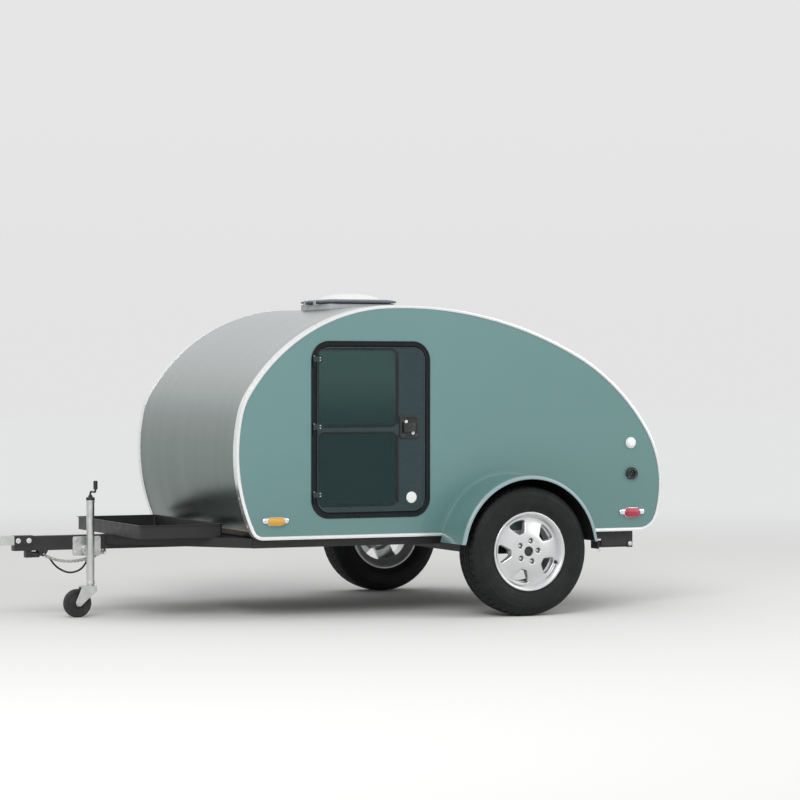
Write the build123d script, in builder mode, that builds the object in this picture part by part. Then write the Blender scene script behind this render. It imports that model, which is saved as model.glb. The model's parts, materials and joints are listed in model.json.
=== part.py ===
from build123d import *
from math import cos, radians, sin, sqrt
import os

os.makedirs("parts", exist_ok=True)

# Overall sizes. X runs from the coupler's nose to the tail, Y to the right, Z up
nose_reach = 2880
body_length = 2527
body_height = 1230
body_width = 1524
tyre_radius = 344.5
body_rise = 79.5
body_bottom = tyre_radius + body_rise
body_front = 1573
lamp_stand_off = 10
rear_reach = body_length - body_front + lamp_stand_off
axle_x = (nose_reach - rear_reach) / 2
body_top = body_bottom + body_height
body_nose_x = axle_x - body_front
body_tail_x = body_nose_x + body_length

# The two sides of the trailer: name and sign of Y
sides = (("left", -1), ("right", 1))

# Wheels
tyre_width = 204
tyre_side_gap = 68
tyre_centre_y = body_width / 2 + tyre_side_gap + tyre_width / 2
bead_radius = 190.5
rim_flange = 20.5
rim_flange_radius = bead_radius + rim_flange
rim_half_width = 87
spoke_count = 5
lug_circle = 114.3
lug_hole_radius = 8
spindle_radius = 17
running_gap = 0.05
curved_gap = 0.3

# Frame
rail = 51
frame_rise = 86.5
frame_top = tyre_radius + frame_rise
frame_bottom = frame_top - rail
wall = 38
rail_wall_gap = 17
side_rail_outer = body_width / 2 - wall - rail_wall_gap
side_rail_inner = side_rail_outer - rail
tongue_width = 51
tongue_height = 76
tongue_bottom = frame_top - tongue_height
tongue_front_x = axle_x - 2534
holder_x = axle_x - 2436
frame_front_x = axle_x - 1455
frame_rear_x = axle_x + 800
tongue_rear_x = axle_x - 726
chain_eye_x = axle_x - 2375
chain_eye_radius = 8
chain_eye_edge = 16
chain_eye_plate = 8
frame_joint_x = axle_x - 2000
leg_pivot_x = axle_x + 785
pivot_drop = 30
leg_pivot_z = frame_bottom - pivot_drop
leg_half = 18
leg_length = 200

# Body
skin_inset = 3
trim_thickness = 3
trim_leg = 18
wall_outer = body_width / 2
wall_inner = wall_outer - wall
floor_thickness = 42
floor_top = frame_top + floor_thickness
moving_gap = 6
hinge_heading = 24.6
bulkhead_thickness = 18

# Doors
door_front_x = axle_x - 1151
door_rear_x = axle_x - 466
door_sill = 105
door_head = 194
door_bottom = body_bottom + door_sill
door_top = body_top - door_head
flange_width = 26
flange_corner = 100
jamb_wall = 4
leaf_gap = 5
leaf_outer = wall_outer + 6
leaf_thickness = 32

# Outline of the body by quarters: radius and turn of each arc, from the front's foot to the tail's
front_lower = ((68, 65.4), (978, 24.6))
front_upper = ((978, 12.2), (344, 19.7), (988, 55.4), (2212, 2.7))
rear_upper = ((2212, 27.8), (1177, 29.4), (580, 32.8))
rear_lower = ((580, 16.9), (125, 73.1))


def run_and_rise(arcs, heading):
    """Distance covered by a chain of clockwise arcs that starts at a heading."""
    run = 0
    rise = 0
    for radius, turn in arcs:
        first = radians(heading)
        last = radians(heading - turn)
        run += radius * (sin(first) - sin(last))
        rise += radius * (cos(last) - cos(first))
        heading -= turn
    return run, rise


foot_run, foot_rise = run_and_rise(front_lower, 180)
brow_run, brow_rise = run_and_rise(front_upper, 90)
crown_run, crown_drop = run_and_rise(rear_upper, 0)
tail_run, tail_drop = run_and_rise(rear_lower, -90)
front_height = foot_rise + brow_rise
rear_height = -(crown_drop + tail_drop)
natural_length = brow_run + crown_run
arc_scale = min(body_length / natural_length, body_height / front_height, body_height / rear_height)
top_straight = body_length - arc_scale * natural_length
front_straight = body_height - arc_scale * front_height
rear_straight = body_height - arc_scale * rear_height
foot_x = body_nose_x - arc_scale * foot_run
outline_steps = (
    (front_lower, front_straight),
    (front_upper, top_straight),
    (rear_upper, rear_straight),
    (rear_lower, 0),
)


def draw_outline(inset):
    """Closed side outline of the body, a given depth inside its outer edge."""
    start = (foot_x, body_bottom + inset)
    at = Vector(*start)
    heading = 180
    for arcs, straight in outline_steps:
        for radius, turn in arcs:
            way = (cos(radians(heading)), sin(radians(heading)))
            arc = JernArc(start=at, tangent=way, radius=arc_scale * radius - inset, arc_size=-turn)
            at = arc @ 1
            heading -= turn
        if straight > 1:
            way = Vector(cos(radians(heading)), sin(radians(heading)))
            line = Line(at, at + way * straight)
            at = line @ 1
    Line(at, start)


def outline_point(target, inset=0):
    """Point on the outline where the edge has a heading, counted down from 180."""
    x = foot_x
    z = body_bottom + inset
    heading = 180
    for arcs, straight in outline_steps:
        for radius, turn in arcs:
            step = min(turn, heading - target)
            run, rise = run_and_rise(((arc_scale * radius - inset, step),), heading)
            x += run
            z += rise
            heading -= step
            if heading <= target:
                return x, z
        if straight > 1:
            x += straight * cos(radians(heading))
            z += straight * sin(radians(heading))
    return x, z


def edge_x(z, inset, rear):
    """X of the outline at a height, on its front or its rear."""
    low = -180 if rear else 180
    high = 0
    for step in range(40):
        middle = (low + high) / 2
        if outline_point(middle, inset)[1] > z:
            high = middle
        else:
            low = middle
    return outline_point(high, inset)[0]


def side_plane(y):
    """Drawing plane at a Y: drawn across as X and up as Z, extruded towards -Y."""
    return Plane(origin=(0, y, 0), x_dir=(1, 0, 0), z_dir=(0, -1, 0))


def block(x_low, x_high, y_low, y_high, z_low, z_high, mode=Mode.ADD):
    """Box from its limits."""
    centre = ((x_low + x_high) / 2, (y_low + y_high) / 2, (z_low + z_high) / 2)
    with Locations(centre):
        Box(x_high - x_low, y_high - y_low, z_high - z_low, mode=mode)


def rod_y(x, z, radius, y_from, y_to, mode=Mode.ADD):
    """Round bar along Y."""
    with BuildSketch(side_plane(max(y_from, y_to))) as disc:
        with Locations((x, z)):
            Circle(radius)
    extrude(disc.sketch, amount=abs(y_to - y_from), mode=mode)


def rod_z(x, y, radius, z_from, z_to, mode=Mode.ADD):
    """Round bar along Z."""
    with BuildSketch(Plane.XY.offset(z_from)) as disc:
        with Locations((x, y)):
            Circle(radius)
    extrude(disc.sketch, amount=z_to - z_from, mode=mode)


def store(part, name):
    """Name a finished piece and write it out."""
    part.label = name
    export_step(part, "parts/" + name + ".step")


# Chassis: side rails, cross members and the A shaped front, welded
cross_members = (
    ("front", frame_front_x),
    ("middle", tongue_rear_x),
    ("rear_middle", axle_x + 280),
    ("rear", frame_rear_x - rail),
)
with BuildPart() as chassis_frame:
    for side, sign in sides:
        rail_low = min(sign * side_rail_inner, sign * side_rail_outer)
        block(frame_front_x, frame_rear_x, rail_low, rail_low + rail, frame_bottom, frame_top)
        a_start = Vector(frame_joint_x, sign * tongue_width / 2)
        a_end = Vector(frame_front_x + rail / 2, sign * (side_rail_inner + rail / 2))
        a_way = (a_end - a_start).normalized()
        a_side = Vector(-a_way.Y, a_way.X) * (rail / 2)
        a_tail = a_start - a_way * 60
        with BuildSketch(Plane.XY.offset(frame_bottom)):
            with BuildLine():
                Polyline(a_tail + a_side, a_end + a_side, a_end - a_side, a_tail - a_side, close=True)
            make_face()
        extrude(amount=rail)
    for name, x in cross_members:
        block(x, x + rail, -side_rail_inner, side_rail_inner, frame_bottom, frame_top)
    block(tongue_front_x, tongue_rear_x, -tongue_width / 2, tongue_width / 2, 0, 600, mode=Mode.SUBTRACT)
    for side, sign in sides:
        leg_y = sign * (side_rail_outer - rail / 2)
        for offset_y in (-rail / 2, rail / 2 - 5):
            block(
                leg_pivot_x - 20, leg_pivot_x + 15, leg_y + offset_y, leg_y + offset_y + 5,
                leg_pivot_z - 20, frame_bottom,
            )
        rod_y(leg_pivot_x, leg_pivot_z, 6, leg_y - rail / 2, leg_y + rail / 2)
store(chassis_frame.part, "chassis_frame")

with BuildPart() as tongue_beam:
    block(
        tongue_front_x, tongue_rear_x, -tongue_width / 2, tongue_width / 2,
        tongue_bottom, frame_top,
    )
    block(holder_x - 32, holder_x, -20, 20, tongue_bottom - 37, tongue_bottom)
    block(axle_x - 2125, axle_x - 2088, -12, 12, tongue_bottom - 4, tongue_bottom)
    for side, sign in sides:
        eye_y = sign * (tongue_width - chain_eye_plate) / 2
        with BuildSketch(side_plane(eye_y + chain_eye_plate / 2)):
            with Locations((chain_eye_x, tongue_bottom - chain_eye_edge)):
                Circle(chain_eye_edge)
            with Locations((chain_eye_x, tongue_bottom - 2)):
                Rectangle(52, 4)
            make_hull()
            with Locations((chain_eye_x, tongue_bottom - chain_eye_edge - 1)):
                Circle(chain_eye_radius, mode=Mode.SUBTRACT)
        extrude(amount=chain_eye_plate)
store(tongue_beam.part, "tongue_beam")

# Coupler: a pressed channel over the tongue with a socket for a ball
coupler_wall = 4
ball_bore = 25.6
ball_x = axle_x - nose_reach + 38
coupler_low = frame_top - 45
socket_wall = 20
socket_top = coupler_low + socket_wall
nose_radius = 38
nose_length = 120
nose_edge = 9
sleeve_x = axle_x - 2430
coupler_half = tongue_width / 2 + coupler_wall
coupler_top = frame_top + coupler_wall + 6
cross_bolts = (sleeve_x - 24, sleeve_x - 82)
bolt_head = 9.5
bolt_head_height = 7
with BuildPart() as coupler:
    with BuildSketch(Plane.XY.offset(coupler_low)):
        with Locations((ball_x, 0)):
            Circle(nose_radius)
        with Locations((ball_x + nose_length, 0)):
            Rectangle(2, 2 * coupler_half)
        make_hull()
    extrude(amount=coupler_top - coupler_low)
    fillet(coupler.edges().group_by(Axis.Z)[-1], nose_edge)
    block(
        ball_x + nose_length, sleeve_x, -coupler_half, coupler_half, coupler_low, frame_top + coupler_wall,
    )
    for bolt_x in cross_bolts:
        for side, sign in sides:
            bolt_low = min(sign * coupler_half, sign * (coupler_half + bolt_head_height))
            with BuildSketch(side_plane(bolt_low + bolt_head_height)):
                with Locations((bolt_x, (coupler_low + frame_top) / 2)):
                    RegularPolygon(bolt_head, 6)
            extrude(amount=bolt_head_height)
    block(
        tongue_front_x, sleeve_x, -tongue_width / 2, tongue_width / 2,
        coupler_low - 5, frame_top, mode=Mode.SUBTRACT,
    )
    block(
        ball_x + nose_radius, tongue_front_x, -tongue_width / 2, tongue_width / 2,
        coupler_low - 5, frame_top, mode=Mode.SUBTRACT,
    )
    rod_z(ball_x, 0, ball_bore, coupler_low - 5, socket_top, mode=Mode.SUBTRACT)
    with Locations((ball_x, 0, socket_top)):
        Sphere(ball_bore, mode=Mode.SUBTRACT)
store(coupler.part, "coupler")

latch_half = 9
lever_edge = 4
# Side view of the latch lever from the ball and the coupler's top: distance back and up
lever_profile = ((30, 0), (108, 0), (134, 9), (176, 19), (174, 29), (124, 23), (84, 15), (34, 13))
with BuildPart() as coupler_latch:
    with BuildSketch(side_plane(latch_half)) as lever:
        with BuildLine():
            Polyline(*((ball_x + back, coupler_top + up) for back, up in lever_profile), close=True)
        make_face()
        fillet(lever.vertices().sort_by(Axis.X)[-6:], lever_edge)
    extrude(amount=2 * latch_half)
store(coupler_latch.part, "coupler_latch")

# Front tray: an open steel box on the tongue
tray_sheet = 3
tray_front_x = axle_x - 2006
tray_half = 523
tray_depth = 70
tray_gap = 53
tray_corner = 14
tray_rim = 9
tray_top = frame_top + tray_depth
tray_rear_x = edge_x(tray_top, 0, False) - tray_gap
tray_layers = (
    ("pan", frame_top, tray_depth, 0, Mode.ADD),
    ("rim", tray_top - tray_sheet, tray_sheet, tray_rim, Mode.ADD),
    ("hollow", frame_top + tray_sheet, tray_depth, -tray_sheet, Mode.SUBTRACT),
)
with BuildPart() as front_tray:
    for layer, low, height, grow, mode in tray_layers:
        with BuildSketch(Plane.XY.offset(low)):
            with Locations(((tray_front_x + tray_rear_x) / 2, 0)):
                RectangleRounded(
                    tray_rear_x - tray_front_x + 2 * grow, 2 * (tray_half + grow), tray_corner + grow,
                )
        extrude(amount=height, mode=mode)
store(front_tray.part, "front_tray")

# Jack with a swivel mount on the tongue's left side
jack_x = axle_x - 2135
jack_offset = 62.5
jack_y = -tongue_width / 2 - jack_offset
jack_pivot_z = frame_bottom - pivot_drop
jack_tube_radius = 21
jack_ram_radius = 17.5
jack_bore = jack_ram_radius + curved_gap
jack_top = jack_pivot_z + 268
jack_wheel_radius = 75
caster_trail = 73
jack_wheel_x = jack_x - caster_trail
jack_wheel_width = 36
fork_wall = 4
crown_thickness = 8
crown_z = 2 * jack_wheel_radius + 8
jack_foot = crown_z + crown_thickness + moving_gap
face_y = -tongue_width / 2
with BuildPart() as jack_mount:
    block(jack_x - 80, jack_x + 75, face_y - 8, face_y, jack_pivot_z - 28, frame_top - 6)
    fillet(jack_mount.edges().filter_by(Axis.Y), 12)
    rod_y(jack_x, jack_pivot_z, 30, face_y - 24, face_y - 8)
    rod_y(jack_x, jack_pivot_z, 9, face_y - 40, face_y - 24)
store(jack_mount.part, "jack_mount")

with BuildPart() as jack_tube:
    rod_z(jack_x, jack_y, jack_tube_radius, jack_foot, jack_top)
    rod_y(jack_x, jack_pivot_z, 32, face_y - 36, face_y - 24.3)
    block(jack_x - 17, jack_x + 17, jack_y + 12, face_y - 36, jack_pivot_z - 30, jack_pivot_z + 30)
    rod_z(jack_x, jack_y, jack_bore, jack_foot - 1, jack_top - 10, mode=Mode.SUBTRACT)
    rod_y(jack_x, jack_pivot_z, 9 + running_gap, face_y - 41, face_y - 24, mode=Mode.SUBTRACT)
store(jack_tube.part, "jack_tube")

cap_radius = 23
cap_height = 16
crank_rod = 5.5
crank_rise = 46
crank_reach = 85
grip_radius = 11
grip_length = 60
with BuildPart() as jack_crank:
    rod_z(jack_x, jack_y, cap_radius, jack_top, jack_top + cap_height)
    fillet(jack_crank.edges().group_by(Axis.Z)[-1], 5)
    rod_z(jack_x, jack_y, cap_radius / 2, jack_top + cap_height, jack_top + cap_height + 8)
    with BuildLine():
        crank_path = FilletPolyline(
            (jack_x, jack_y, jack_top + cap_height), (jack_x, jack_y, jack_top + crank_rise),
            (jack_x, jack_y - crank_reach, jack_top + crank_rise),
            (jack_x, jack_y - crank_reach, jack_top + crank_rise + grip_length - 4), radius=14,
        )
    with BuildSketch(Plane.XY.offset(jack_top + cap_height)):
        with Locations((jack_x, jack_y)):
            Circle(crank_rod)
    sweep(path=crank_path)
    grip_low = jack_top + crank_rise + 15
    with BuildSketch(Plane.XY.offset(grip_low)):
        with Locations((jack_x, jack_y - crank_reach)):
            Circle(grip_radius)
    extrude(amount=grip_length - 15)
    fillet(jack_crank.edges().group_by(Axis.Z)[-1], 4)
store(jack_crank.part, "jack_crank")

fork_half = jack_wheel_width / 2 + 5
crown_top = crown_z + crown_thickness
with BuildPart() as jack_ram:
    rod_z(jack_x, jack_y, jack_ram_radius, crown_z, jack_top - 58)
    block(
        jack_x - 52, jack_x + 27, jack_y - fork_half - fork_wall, jack_y + fork_half + fork_wall,
        crown_z, crown_top,
    )
    for low in (jack_y - fork_half - fork_wall, jack_y + fork_half):
        with BuildSketch(side_plane(low + fork_wall)):
            with BuildLine():
                Polyline(
                    (jack_x + 27, crown_top), (jack_x - 52, crown_top),
                    (jack_wheel_x - 16, jack_wheel_radius + 5), (jack_wheel_x - 8, jack_wheel_radius - 15),
                    (jack_wheel_x + 12, jack_wheel_radius - 15), (jack_x + 27, crown_z - 20), close=True,
                )
            make_face()
        extrude(amount=fork_wall)
    rod_y(jack_wheel_x, jack_wheel_radius, 6, jack_y - fork_half - 10, jack_y + fork_half + 10)
store(jack_ram.part, "jack_ram")

wheel_edge = jack_wheel_width / 2
with BuildPart() as jack_wheel:
    with BuildSketch(Plane(origin=(jack_wheel_x, jack_y, jack_wheel_radius), x_dir=(1, 0, 0), z_dir=(0, 0, 1))):
        with BuildLine():
            Polyline(
                (6 + running_gap, -wheel_edge), (24, -wheel_edge), (30, -wheel_edge + 6),
                (jack_wheel_radius - 23, -wheel_edge + 6), (jack_wheel_radius - 17, -wheel_edge),
                (jack_wheel_radius - 7, -wheel_edge), (jack_wheel_radius, -wheel_edge + 8),
                (jack_wheel_radius, wheel_edge - 8), (jack_wheel_radius - 7, wheel_edge),
                (jack_wheel_radius - 17, wheel_edge), (jack_wheel_radius - 23, wheel_edge - 6),
                (30, wheel_edge - 6), (24, wheel_edge), (6 + running_gap, wheel_edge), close=True,
            )
        make_face()
    revolve(axis=Axis((jack_wheel_x, jack_y, jack_wheel_radius), (0, 1, 0)))
store(jack_wheel.part, "jack_wheel")

# Floor and its two side walls with the doorways
door_corner = flange_corner - flange_width
opening_front = door_front_x + flange_width
opening_rear = door_rear_x - flange_width
opening_low = door_bottom + flange_width
opening_high = door_top - flange_width
door_x = (door_front_x + door_rear_x) / 2
door_z = (door_bottom + door_top) / 2
opening_width = opening_rear - opening_front
opening_height = opening_high - opening_low


def door_shape(grow, mode=Mode.ADD):
    """Rounded rectangle a given distance outside the clear doorway."""
    with Locations((door_x, door_z)):
        RectangleRounded(opening_width + 2 * grow, opening_height + 2 * grow, door_corner + grow, mode=mode)


with BuildPart() as floor:
    with BuildSketch(side_plane(wall_inner)):
        with BuildLine():
            draw_outline(skin_inset)
        make_face()
        with Locations((axle_x, (frame_top + floor_top) / 2)):
            Rectangle(3 * body_length, floor_top - frame_top, mode=Mode.INTERSECT)
    extrude(amount=2 * wall_inner)
store(floor.part, "floor")

for side, sign in sides:
    inner = sign * wall_inner
    outer = sign * wall_outer
    with BuildPart() as side_wall:
        with BuildSketch(side_plane(max(inner, outer))):
            with BuildLine():
                draw_outline(skin_inset + curved_gap)
            make_face()
            door_shape(jamb_wall + curved_gap, mode=Mode.SUBTRACT)
        extrude(amount=wall)
    store(side_wall.part, side + "_wall")

with BuildPart() as edge_trim:
    for side, sign in sides:
        inner = sign * wall_inner
        outer = sign * wall_outer
        trim_outer = sign * (wall_outer + trim_thickness)
        with BuildSketch(side_plane(max(inner, trim_outer))):
            with BuildLine():
                draw_outline(0)
            make_face()
            with BuildLine():
                draw_outline(skin_inset)
            make_face(mode=Mode.SUBTRACT)
        extrude(amount=wall + trim_thickness)
        with BuildSketch(side_plane(max(outer, trim_outer))):
            with BuildLine():
                draw_outline(0)
            make_face()
            with BuildLine():
                draw_outline(trim_leg)
            make_face(mode=Mode.SUBTRACT)
        extrude(amount=trim_thickness)
store(edge_trim.part, "edge_trim")

# Roof shell from the floor's front up to the hatch hinge, with the hole for the vent
hinge_x, hinge_z = outline_point(-hinge_heading, skin_inset)
along = Vector(cos(radians(hinge_heading)), -sin(radians(hinge_heading)))
outward = Vector(sin(radians(hinge_heading)), cos(radians(hinge_heading)))
hinge_at = Vector(hinge_x, hinge_z)
vent_x = axle_x - 608
vent_hole = 360
vent_half = vent_hole / 2
with BuildPart() as roof_shell:
    with BuildSketch(side_plane(wall_inner)):
        with BuildLine():
            draw_outline(skin_inset)
        make_face()
        with BuildLine():
            draw_outline(skin_inset + wall)
        make_face(mode=Mode.SUBTRACT)
        high = hinge_at + outward * 80
        low = hinge_at - outward * 300
        with BuildLine():
            Polyline(
                high, low, (low.X, floor_top), (body_nose_x - 100, floor_top),
                (body_nose_x - 100, body_top + 200), (high.X, body_top + 200), close=True,
            )
        make_face(mode=Mode.INTERSECT)
    extrude(amount=2 * wall_inner)
    block(
        vent_x - vent_half, vent_x + vent_half, -vent_half, vent_half,
        body_top - 150, body_top + 150, mode=Mode.SUBTRACT,
    )
store(roof_shell.part, "roof_shell")

# Rear hatch, hung from the roof
hatch_half = wall_inner - moving_gap
with BuildPart() as rear_hatch:
    with BuildSketch(side_plane(hatch_half)):
        with BuildLine():
            draw_outline(skin_inset)
        make_face()
        with BuildLine():
            draw_outline(skin_inset + wall)
        make_face(mode=Mode.SUBTRACT)
        high = hinge_at + along * moving_gap + outward * 80
        low = hinge_at + along * moving_gap - outward * 300
        with BuildLine():
            Polyline(
                high, (body_tail_x + 100, high.Y), (body_tail_x + 100, floor_top + moving_gap),
                (low.X, floor_top + moving_gap), low, close=True,
            )
        make_face(mode=Mode.INTERSECT)
    extrude(amount=2 * hatch_half)
store(rear_hatch.part, "rear_hatch")

# Hinge along the hatch's upper edge: a strip with a round bead on the roof, a hooked strip on the hatch
bead = 4
bead_height = 8
hook_wall = 3
hook_low = -140
hook_high = 85
bead_at = hinge_at + along * (moving_gap / 2) + outward * bead_height


def hinge_point(t, n):
    """Point in the hinge's section: t down the hatch, n out of the skin."""
    return hinge_at + along * t + outward * n


with BuildPart() as hatch_hinge:
    with BuildSketch(side_plane(hatch_half)):
        with BuildLine():
            Polyline(
                hinge_point(-36, 0.8), hinge_point(-7, 0.8), hinge_point(-7, bead_height - 1.5),
                hinge_point(moving_gap / 2, bead_height - 1.5), hinge_point(moving_gap / 2, bead_height + 1.5),
                hinge_point(-12, bead_height + 1.5), hinge_point(-14, 3.8), hinge_point(-36, 3.8), close=True,
            )
        make_face()
        with Locations(bead_at):
            Circle(bead)
    extrude(amount=2 * hatch_half)
store(hatch_hinge.part, "hatch_hinge")

with BuildPart() as hatch_hook:
    with BuildSketch(side_plane(hatch_half)):
        with Locations(bead_at):
            Circle(bead + hook_wall)
        with BuildLine():
            Polyline(
                hinge_point(moving_gap / 2 + bead + 1, bead_height), hinge_point(moving_gap / 2, bead_height - 5.5),
                hinge_point(12, 0.4), hinge_point(42, 0.4), hinge_point(42, 3), hinge_point(14, 3), close=True,
            )
        make_face()
        with Locations(bead_at):
            Circle(bead + running_gap, mode=Mode.SUBTRACT)
        reach = 30
        jaw = []
        for angle in (hook_high, 180, 360 + hook_low):
            turn = radians(angle)
            jaw.append(bead_at + along * (reach * cos(turn)) + outward * (reach * sin(turn)))
        with BuildLine():
            Polyline(bead_at, *jaw, close=True)
        make_face(mode=Mode.SUBTRACT)
    extrude(amount=2 * hatch_half)
store(hatch_hook.part, "hatch_hook")

# Bulkhead and galley behind the cabin
bulkhead_x = hinge_x - 40
ceiling_inset = skin_inset + wall
with BuildPart() as bulkhead:
    with BuildSketch(side_plane(wall_inner)):
        with BuildLine():
            draw_outline(ceiling_inset + curved_gap)
        make_face()
        with Locations((bulkhead_x + bulkhead_thickness / 2, floor_top + 600)):
            Rectangle(bulkhead_thickness, 1200, mode=Mode.INTERSECT)
    extrude(amount=2 * wall_inner)
store(bulkhead.part, "bulkhead")

galley_front = bulkhead_x + bulkhead_thickness
galley_half = wall_inner
cabinet_height = 347
counter_z = floor_top + cabinet_height
counter_thickness = 20
counter_gap = 27
cabinet_set_back = 82
panel = 15
bays = 3
counter_rear = edge_x(counter_z + counter_thickness, skin_inset + wall, True) - counter_gap
cabinet_rear = min(counter_rear, edge_x(floor_top + moving_gap, skin_inset + wall, True)) - cabinet_set_back
with BuildPart() as galley_cabinet:
    block(galley_front, cabinet_rear, -galley_half, galley_half, floor_top, counter_z)
    bay_width = (2 * galley_half - (bays + 1) * panel) / bays
    for bay in range(bays):
        bay_low = -galley_half + panel + bay * (bay_width + panel)
        block(
            galley_front + panel, cabinet_rear + 10, bay_low, bay_low + bay_width,
            floor_top + panel, counter_z - panel, mode=Mode.SUBTRACT,
        )
store(galley_cabinet.part, "galley_cabinet")

shelf_rise = 290
shelf_depth = 275
shelf_lip = 60
shelf_z = counter_z + counter_thickness + shelf_rise
shelf_limit = edge_x(shelf_z + shelf_lip, skin_inset + wall, True) - counter_gap
shelf_rear = min(galley_front + shelf_depth, shelf_limit)
with BuildPart() as galley_boards:
    block(galley_front, counter_rear, -galley_half, galley_half, counter_z, counter_z + counter_thickness)
    block(galley_front, shelf_rear, -galley_half, galley_half, shelf_z, shelf_z + panel)
    block(shelf_rear - panel, shelf_rear, -galley_half, galley_half, shelf_z, shelf_z + shelf_lip)
store(galley_boards.part, "galley_boards")

mattress_height = 100
mattress_gap = 8
mattress_edge = 24
mattress_front = edge_x(floor_top, skin_inset + wall, False) + 2 * mattress_gap
with BuildPart() as mattress:
    block(
        mattress_front, bulkhead_x - mattress_gap, mattress_gap - wall_inner, wall_inner - mattress_gap,
        floor_top, floor_top + mattress_height,
    )
    fillet(mattress.edges(), mattress_edge)
store(mattress.part, "mattress")

# Roof vent: a curb through the roof and a hinged dome
vent_outer = 200
vent_lid_half = 218
vent_lid_low = body_top + 24
vent_flange_top = body_top + 16
vent_lid_corner = 70
dome_wall = 4
# Rings of the dome from its rim up: height and slope from upright
dome_steps = (
    (18, 0),
    (14, 32),
    (12, 58),
    (10, 73),
)
vent_hinge_reach = 11
vent_hinge_x = vent_x - vent_lid_half - vent_hinge_reach
vent_hinge_z = vent_lid_low + 5
with BuildPart() as vent_base:
    block(vent_x - vent_outer, vent_x + vent_outer, -vent_outer, vent_outer, body_top - 54, vent_flange_top)
    with BuildSketch(side_plane(400)):
        with BuildLine():
            draw_outline(skin_inset - curved_gap)
        make_face()
    extrude(amount=800, mode=Mode.SUBTRACT)
    throat = vent_half - 2
    block(vent_x - throat, vent_x + throat, -throat, throat, body_top - 48, body_top + 38)
    duct = throat - 6
    block(vent_x - duct, vent_x + duct, -duct, duct, body_top - 64, body_top + 46, mode=Mode.SUBTRACT)
    for low in (-75, 61):
        block(vent_hinge_x - 6, vent_x - throat, low, low + 14, vent_flange_top - 6, vent_flange_top)
        block(vent_hinge_x - 6, vent_hinge_x + 3, low, low + 14, vent_flange_top - 6, vent_hinge_z + 5)
    rod_y(vent_hinge_x, vent_hinge_z, 2, -75, -40)
    rod_y(vent_hinge_x, vent_hinge_z, 2, 40, 75)
store(vent_base.part, "vent_base")

with BuildPart() as vent_lid:
    for inset, drop, mode in ((0, 0, Mode.ADD), (dome_wall, 2, Mode.SUBTRACT)):
        low = vent_lid_low
        shrink = inset
        for height, slope in dome_steps:
            if slope == 0:
                height -= drop
            with BuildSketch(Plane.XY.offset(low)):
                with Locations((vent_x, 0)):
                    RectangleRounded(
                        2 * (vent_lid_half - shrink), 2 * (vent_lid_half - shrink), vent_lid_corner - shrink,
                    )
            extrude(amount=height, taper=slope, mode=mode)
            low += height
            shrink += height * sin(radians(slope)) / cos(radians(slope))
    for low in (-60, 42):
        rod_y(vent_hinge_x, vent_hinge_z, 4.5, low, low + 18)
        block(
            vent_hinge_x, vent_hinge_x + vent_hinge_reach + 2, low, low + 18,
            vent_hinge_z - 4.5, vent_hinge_z + 4.5,
        )
        rod_y(vent_hinge_x, vent_hinge_z, 2 + running_gap, low, low + 18, mode=Mode.SUBTRACT)
store(vent_lid.part, "vent_lid")

# Doors: a jamb clamped in each wall, a leaf with two panes, a latch and hinges at the front edge
pane_edge = 11
pane_front = opening_front + pane_edge
pane_rear = opening_rear - 172
pane_low = opening_low + 39
pane_high = opening_high - 16
bar = 32
bar_low = door_z - bar / 2
bar_high = door_z + bar / 2
latch_x = opening_rear - 99
latch_rise = 11
# Latch plate and paddle: width, height, corner, start and thickness out of the leaf
latch_layers = (
    (112, 124, 14, 0, 7),
    (62, 52, 8, 7, 6),
)
pane_thickness = 5
rebate = 10
hinge_pin_x = opening_front - 13
hinge_pin_y = wall_outer + 9
hinge_inset = 84.5
hinge_spread = opening_height / 2 - hinge_inset
hinge_heights = (door_z - hinge_spread, door_z, door_z + hinge_spread)
hinge_pin = 2.5
panes = (
    ("lower", pane_low, bar_low),
    ("upper", bar_high, pane_high),
)
with BuildPart() as door_jambs:
    for side, sign in sides:
        flange_y = sign * (wall_outer + 3)
        with BuildSketch(side_plane(max(flange_y, sign * wall_outer))):
            door_shape(flange_width)
            door_shape(0, mode=Mode.SUBTRACT)
        extrude(amount=3)
        with BuildSketch(side_plane(max(sign * wall_outer, sign * wall_inner))):
            door_shape(jamb_wall)
            door_shape(0, mode=Mode.SUBTRACT)
        extrude(amount=wall)
        pin_y = sign * hinge_pin_y
        for height in hinge_heights:
            rod_z(hinge_pin_x, pin_y, 5, height - 30, height)
            rod_z(hinge_pin_x, pin_y, hinge_pin, height, height + 32)
            block(
                hinge_pin_x - 5, hinge_pin_x + 3, min(flange_y, pin_y), max(flange_y, pin_y),
                height - 30, height,
            )
store(door_jambs.part, "door_jambs")

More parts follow.
